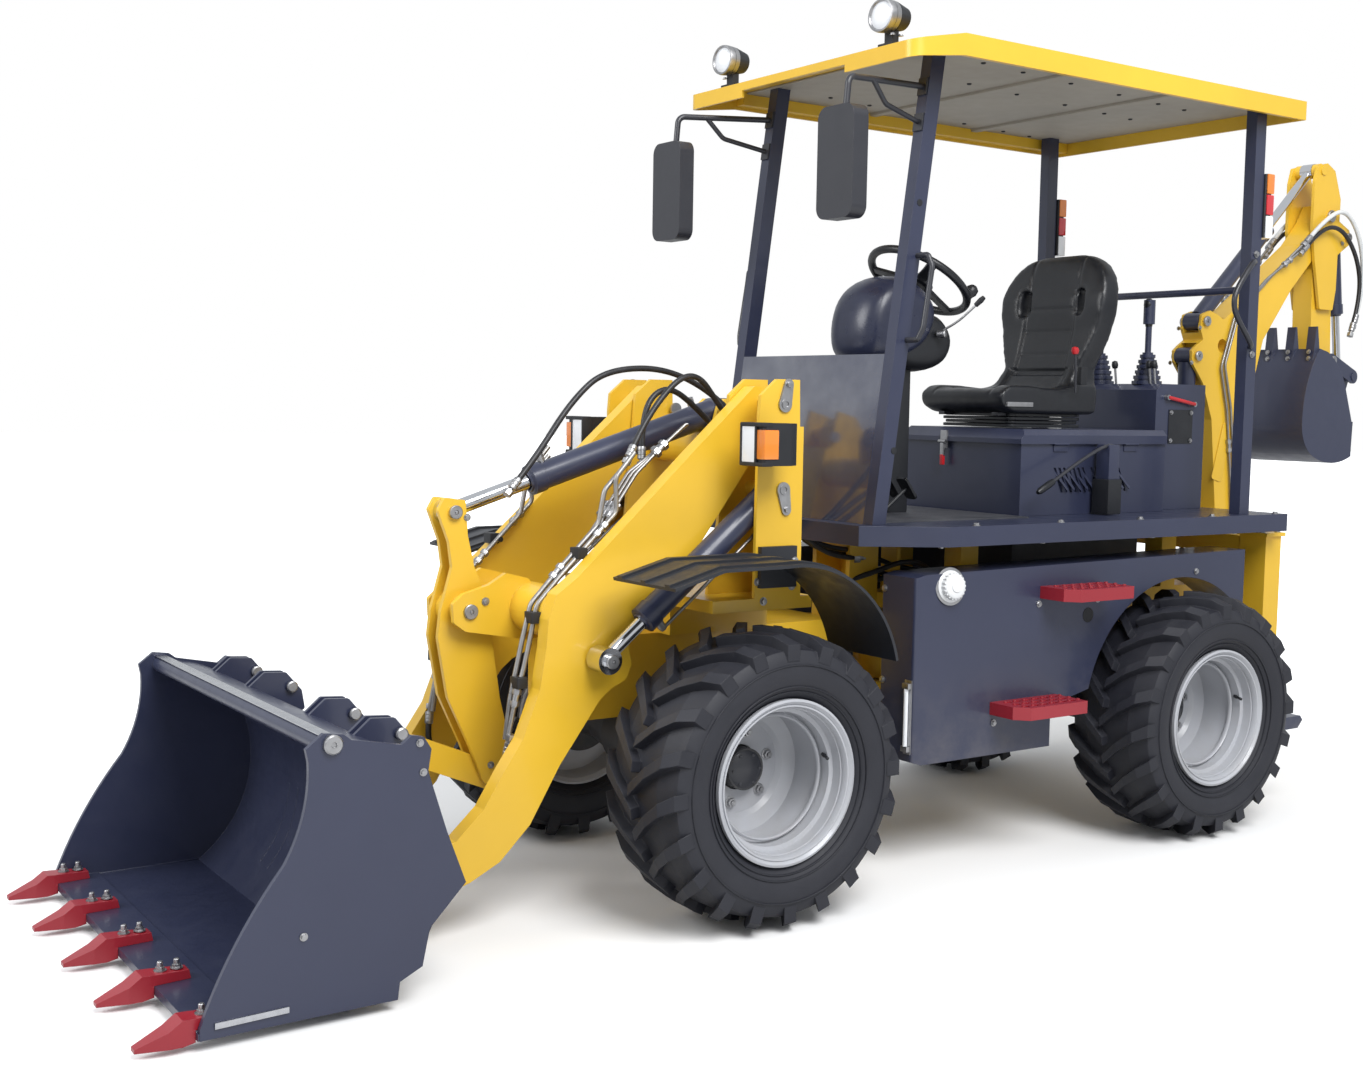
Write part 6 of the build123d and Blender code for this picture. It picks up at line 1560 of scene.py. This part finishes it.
class LOADER_OT_digger(bpy.types.Operator):
    """Add pins, glands, pipes, hoses and bolts to the digging arm and the stabilisers"""

    bl_idname = "loader.digger"
    bl_label = "Digging arm"

    def execute(self, context):
        for name, half, radius, body in DIGGER_PINS:
            mesh = bmesh.new()
            pin = joint_pin(name)
            for side in SIDES:
                at = Vector((pin.x, side * half, pin.z))
                pin_end(mesh, at, (0, side, 0), radius)
                bolt(mesh, at + Vector((0.040, -side * 0.004, -0.030)), (0, side, 0), 0.012)
            piece(f"{name}_pin", mesh, "zinc", body)
        self.glands()
        self.pipes()
        teeth = bmesh.new()
        for k in range(4):
            for z in (1885, 1915):
                bolt(teeth, spot(-2396, (k - 1.5) * 110, z), (1, 0, 0.25), 0.014)
        piece("dig_tooth_bolts", teeth, "zinc", "dig")
        caps = bmesh.new()
        for side in SIDES:
            x, y = STABILISER[0], side * STABILISER[1]
            for dx in (-50, 50):
                for dy in (-45, 45):
                    bolt(caps, spot(x + dx, y + dy, 1140), (0, 0, 1), 0.016)
            turned(caps, [(0, -0.002), (0.018, -0.002), (0.018, 0.020), (0.010, 0.024), (0, 0.024)],
                   looking((0, 0, 1), spot(x, y, 1140)), 20)
        piece("stabiliser_bolts", caps)
        x, y = Vector((-0.28, 0, 1)).normalized(), Vector((1, 0, 0.28)).normalized()
        matrix = axes_at(x, y, (0, 1, 0), spot(-1950, 56, 1455))
        mesh = shaped(sheet_metal, rounded(0.26, 0.070, 0.012), 0.003, matrix, 0.001)
        piece("boom_side_plate", mesh, "yellow", "boom_body")
        return {"FINISHED"}

    def glands(self):
        for name, eye, length, outer, inner in (
            ("boom", BOOM_EYE, 0.620, 0.038, 0.020),
            ("stick", STICK_EYE, 0.640, 0.036, 0.020),
            ("dig", DIG_EYE, 0.355, 0.032, 0.018),
        ):
            start = joint_pin(f"{name}_barrel_pivot")
            along = (eye - start).normalized()
            mesh = bmesh.new()
            gland(mesh, start + along * length, along, outer + 0.0005, inner + 0.0005)
            piece(f"{name}_gland", mesh, "slate", f"{name}_barrel_body")

    def pipes(self):
        sizes = settings().hoses
        for side, label in LABELS.items():
            y = side * 66
            corners = [spot(-2035, y, 1050), spot(-2005, y, 1330), spot(-1960, y, 1640), spot(-1905, y, 1830),
                       spot(-1985, y, 2060), spot(-2200, y, 2235), spot(-2440, side * 98, 2400)]
            line(f"boom_pipe_{label}", pipe_route(corners, 0.04), sizes.wire, "steel", "boom_body")
            inner = [corner + Vector((-0.026, 0, 0.012)) for corner in corners[:-1]]
            inner.append(corners[-1] + Vector((-0.020, 0, 0.040)))
            line(f"boom_pipe_{label}_b", pipe_route(inner, 0.04), sizes.wire, "steel", "boom_body")
            unions = bmesh.new()
            for k in (1, 4, 5):
                coupler(unions, corners[k] * 0.5 + corners[k + 1] * 0.5, corners[k + 1] - corners[k], sizes.pipe)
            piece(f"boom_unions_{label}", unions, "zinc", "boom_body")
            for k, lift in enumerate((0.0, 0.05)):
                start = (corners, inner)[k][-1]
                loop = [start] + [start + Vector((x, side * out, z)) for x, out, z in (
                    (-0.10, 0.006, 0.09), (-0.24, 0.014, 0.10 + lift), (-0.37, 0.016, -0.03 + lift),
                    (-0.41, 0.016, -0.20), (-0.36, 0.016, -0.34))]
                across(f"stick_hose_{label}_{k}", loop, sizes.hose, "sleeve" if k else "hose")
                crimped(f"stick_hose_root_{label}_{k}", loop[0], loop[1], sizes.hose, "boom_body")
                crimped(f"stick_hose_end_{label}_{k}", loop[-1], loop[-2], sizes.hose, "stick_body")


# ---------------------------------------------------------------- stage
class LOADER_OT_stage(bpy.types.Operator):
    """Add the floor, the lamps, the pale surroundings and the camera"""

    bl_idname = "loader.stage"
    bl_label = "Stage and camera"

    def execute(self, context):
        values = settings().stage
        self.camera(context, values)
        self.floor(context, values)
        self.sky(context, values)
        self.lamp("key", (1.5, 6.5, 7.5), (0.0, 0.0, 0.9), 5.5, values.key_power)
        self.lamp("front", (8.5, -1.5, 5.5), (0.5, 0.0, 0.8), 5.0, values.key_power * 0.45)
        return {"FINISHED"}

    def camera(self, context, values):
        data = bpy.data.cameras.new("view")
        data.lens = values.lens
        data.sensor_width = 36
        data.shift_x = -0.03524
        camera = linked("view", data)
        camera.matrix_world = Matrix((
            (-0.81637, -0.03369, 0.57655, 3.97118),
            (0.57722, -0.08017, 0.81264, 4.66668),
            (0.01884, 0.99621, 0.08490, 1.63360),
            (0, 0, 0, 1),
        ))
        context.scene.camera = camera

    def floor(self, context, values):
        mesh = bmesh.new()
        bmesh.ops.create_grid(mesh, x_segments=8, y_segments=8, size=values.floor_size / 2)
        floor = linked("floor", mesh_data("floor", mesh))
        floor.location.z = -0.001
        nodes = Nodes("floor_paper")
        path = nodes.add("ShaderNodeLightPath", output="Is Camera Ray")
        nodes.set(Base_Color=nodes.mix(path, (0.62, 0.62, 0.62, 1), (0.93, 0.93, 0.93, 1)), Roughness=0.9)
        away = nodes.add("ShaderNodeVectorMath", {0: nodes.place}, "Value", operation="LENGTH")
        fade = nodes.math("MULTIPLY", nodes.spread(away, 2.5, 7.0), path)
        nodes.set(Emission_Color=(1, 1, 1, 1), Emission_Strength=fade)
        floor.data.materials.append(nodes.material)

    def sky(self, context, values):
        world = bpy.data.worlds.new("surroundings")
        world.use_nodes = True
        context.scene.world = world
        tree = world.node_tree
        tree.nodes.clear()
        path = tree.nodes.new("ShaderNodeLightPath")
        seen = tree.nodes.new("ShaderNodeMath")
        seen.operation = "MAXIMUM"
        tree.links.new(path.outputs["Is Camera Ray"], seen.inputs[0])
        tree.links.new(path.outputs["Is Transmission Ray"], seen.inputs[1])
        plain = tree.nodes.new("ShaderNodeBackground")
        plain.inputs["Color"].default_value = (0.94, 0.97, 1.0, 1)
        plain.inputs["Strength"].default_value = values.sky
        white = tree.nodes.new("ShaderNodeBackground")
        white.inputs["Color"].default_value = (1, 1, 1, 1)
        white.inputs["Strength"].default_value = 1.0
        mix = tree.nodes.new("ShaderNodeMixShader")
        tree.links.new(seen.outputs[0], mix.inputs[0])
        tree.links.new(plain.outputs[0], mix.inputs[1])
        tree.links.new(white.outputs[0], mix.inputs[2])
        end = tree.nodes.new("ShaderNodeOutputWorld")
        tree.links.new(mix.outputs[0], end.inputs["Surface"])
        context.scene.view_settings.view_transform = "Standard"

    def lamp(self, name, place, aim, size, power):
        data = bpy.data.lights.new(name, "AREA")
        data.shape = "DISK"
        data.size = size
        data.energy = power
        linked(name, data).matrix_world = looking(Vector(place) - Vector(aim), Vector(place))


# ---------------------------------------------------------------- add-on
class LoaderSettings(bpy.types.PropertyGroup):
    """All the settings of the dressing."""

    paint: PointerProperty(name="Paint", description="Colours of the finishes", type=PaintSettings)
    hoses: PointerProperty(name="Hoses", description="Sizes of hoses and pipes", type=HoseSettings)
    seat: PointerProperty(name="Seat", description="Shape of the padded seat", type=SeatSettings)
    stage: PointerProperty(name="Stage", description="Camera, lamps and floor", type=StageSettings)


OPERATORS = [
    LOADER_OT_stage, LOADER_OT_hoses, LOADER_OT_paint, LOADER_OT_wheels, LOADER_OT_linkage, LOADER_OT_bucket,
    LOADER_OT_lamps, LOADER_OT_roof, LOADER_OT_sides, LOADER_OT_cab, LOADER_OT_seat, LOADER_OT_digger,
]


class LOADER_PT_dressing(bpy.types.Panel):
    """Lists the steps that dress the loader"""

    bl_idname = "LOADER_PT_dressing"
    bl_label = "Loader dressing"
    bl_space_type = "VIEW_3D"
    bl_region_type = "UI"
    bl_category = "Loader"

    def draw(self, context):
        for operator in OPERATORS:
            self.layout.operator(operator.bl_idname)


CLASSES = [PaintSettings, HoseSettings, SeatSettings, StageSettings, LoaderSettings, *OPERATORS, LOADER_PT_dressing]


def register():
    for item in CLASSES:
        bpy.utils.register_class(item)
    bpy.types.Scene.loader_dressing = PointerProperty(name="Loader dressing", description="Sizes and colours",
                                                      type=LoaderSettings)


def unregister():
    del bpy.types.Scene.loader_dressing
    for item in reversed(CLASSES):
        bpy.utils.unregister_class(item)


def main():
    register()
    for operator in OPERATORS:
        group, name = operator.bl_idname.split(".")
        getattr(getattr(bpy.ops, group), name)()
    bpy.context.view_layer.update()


if __name__ == "__main__":
    main()
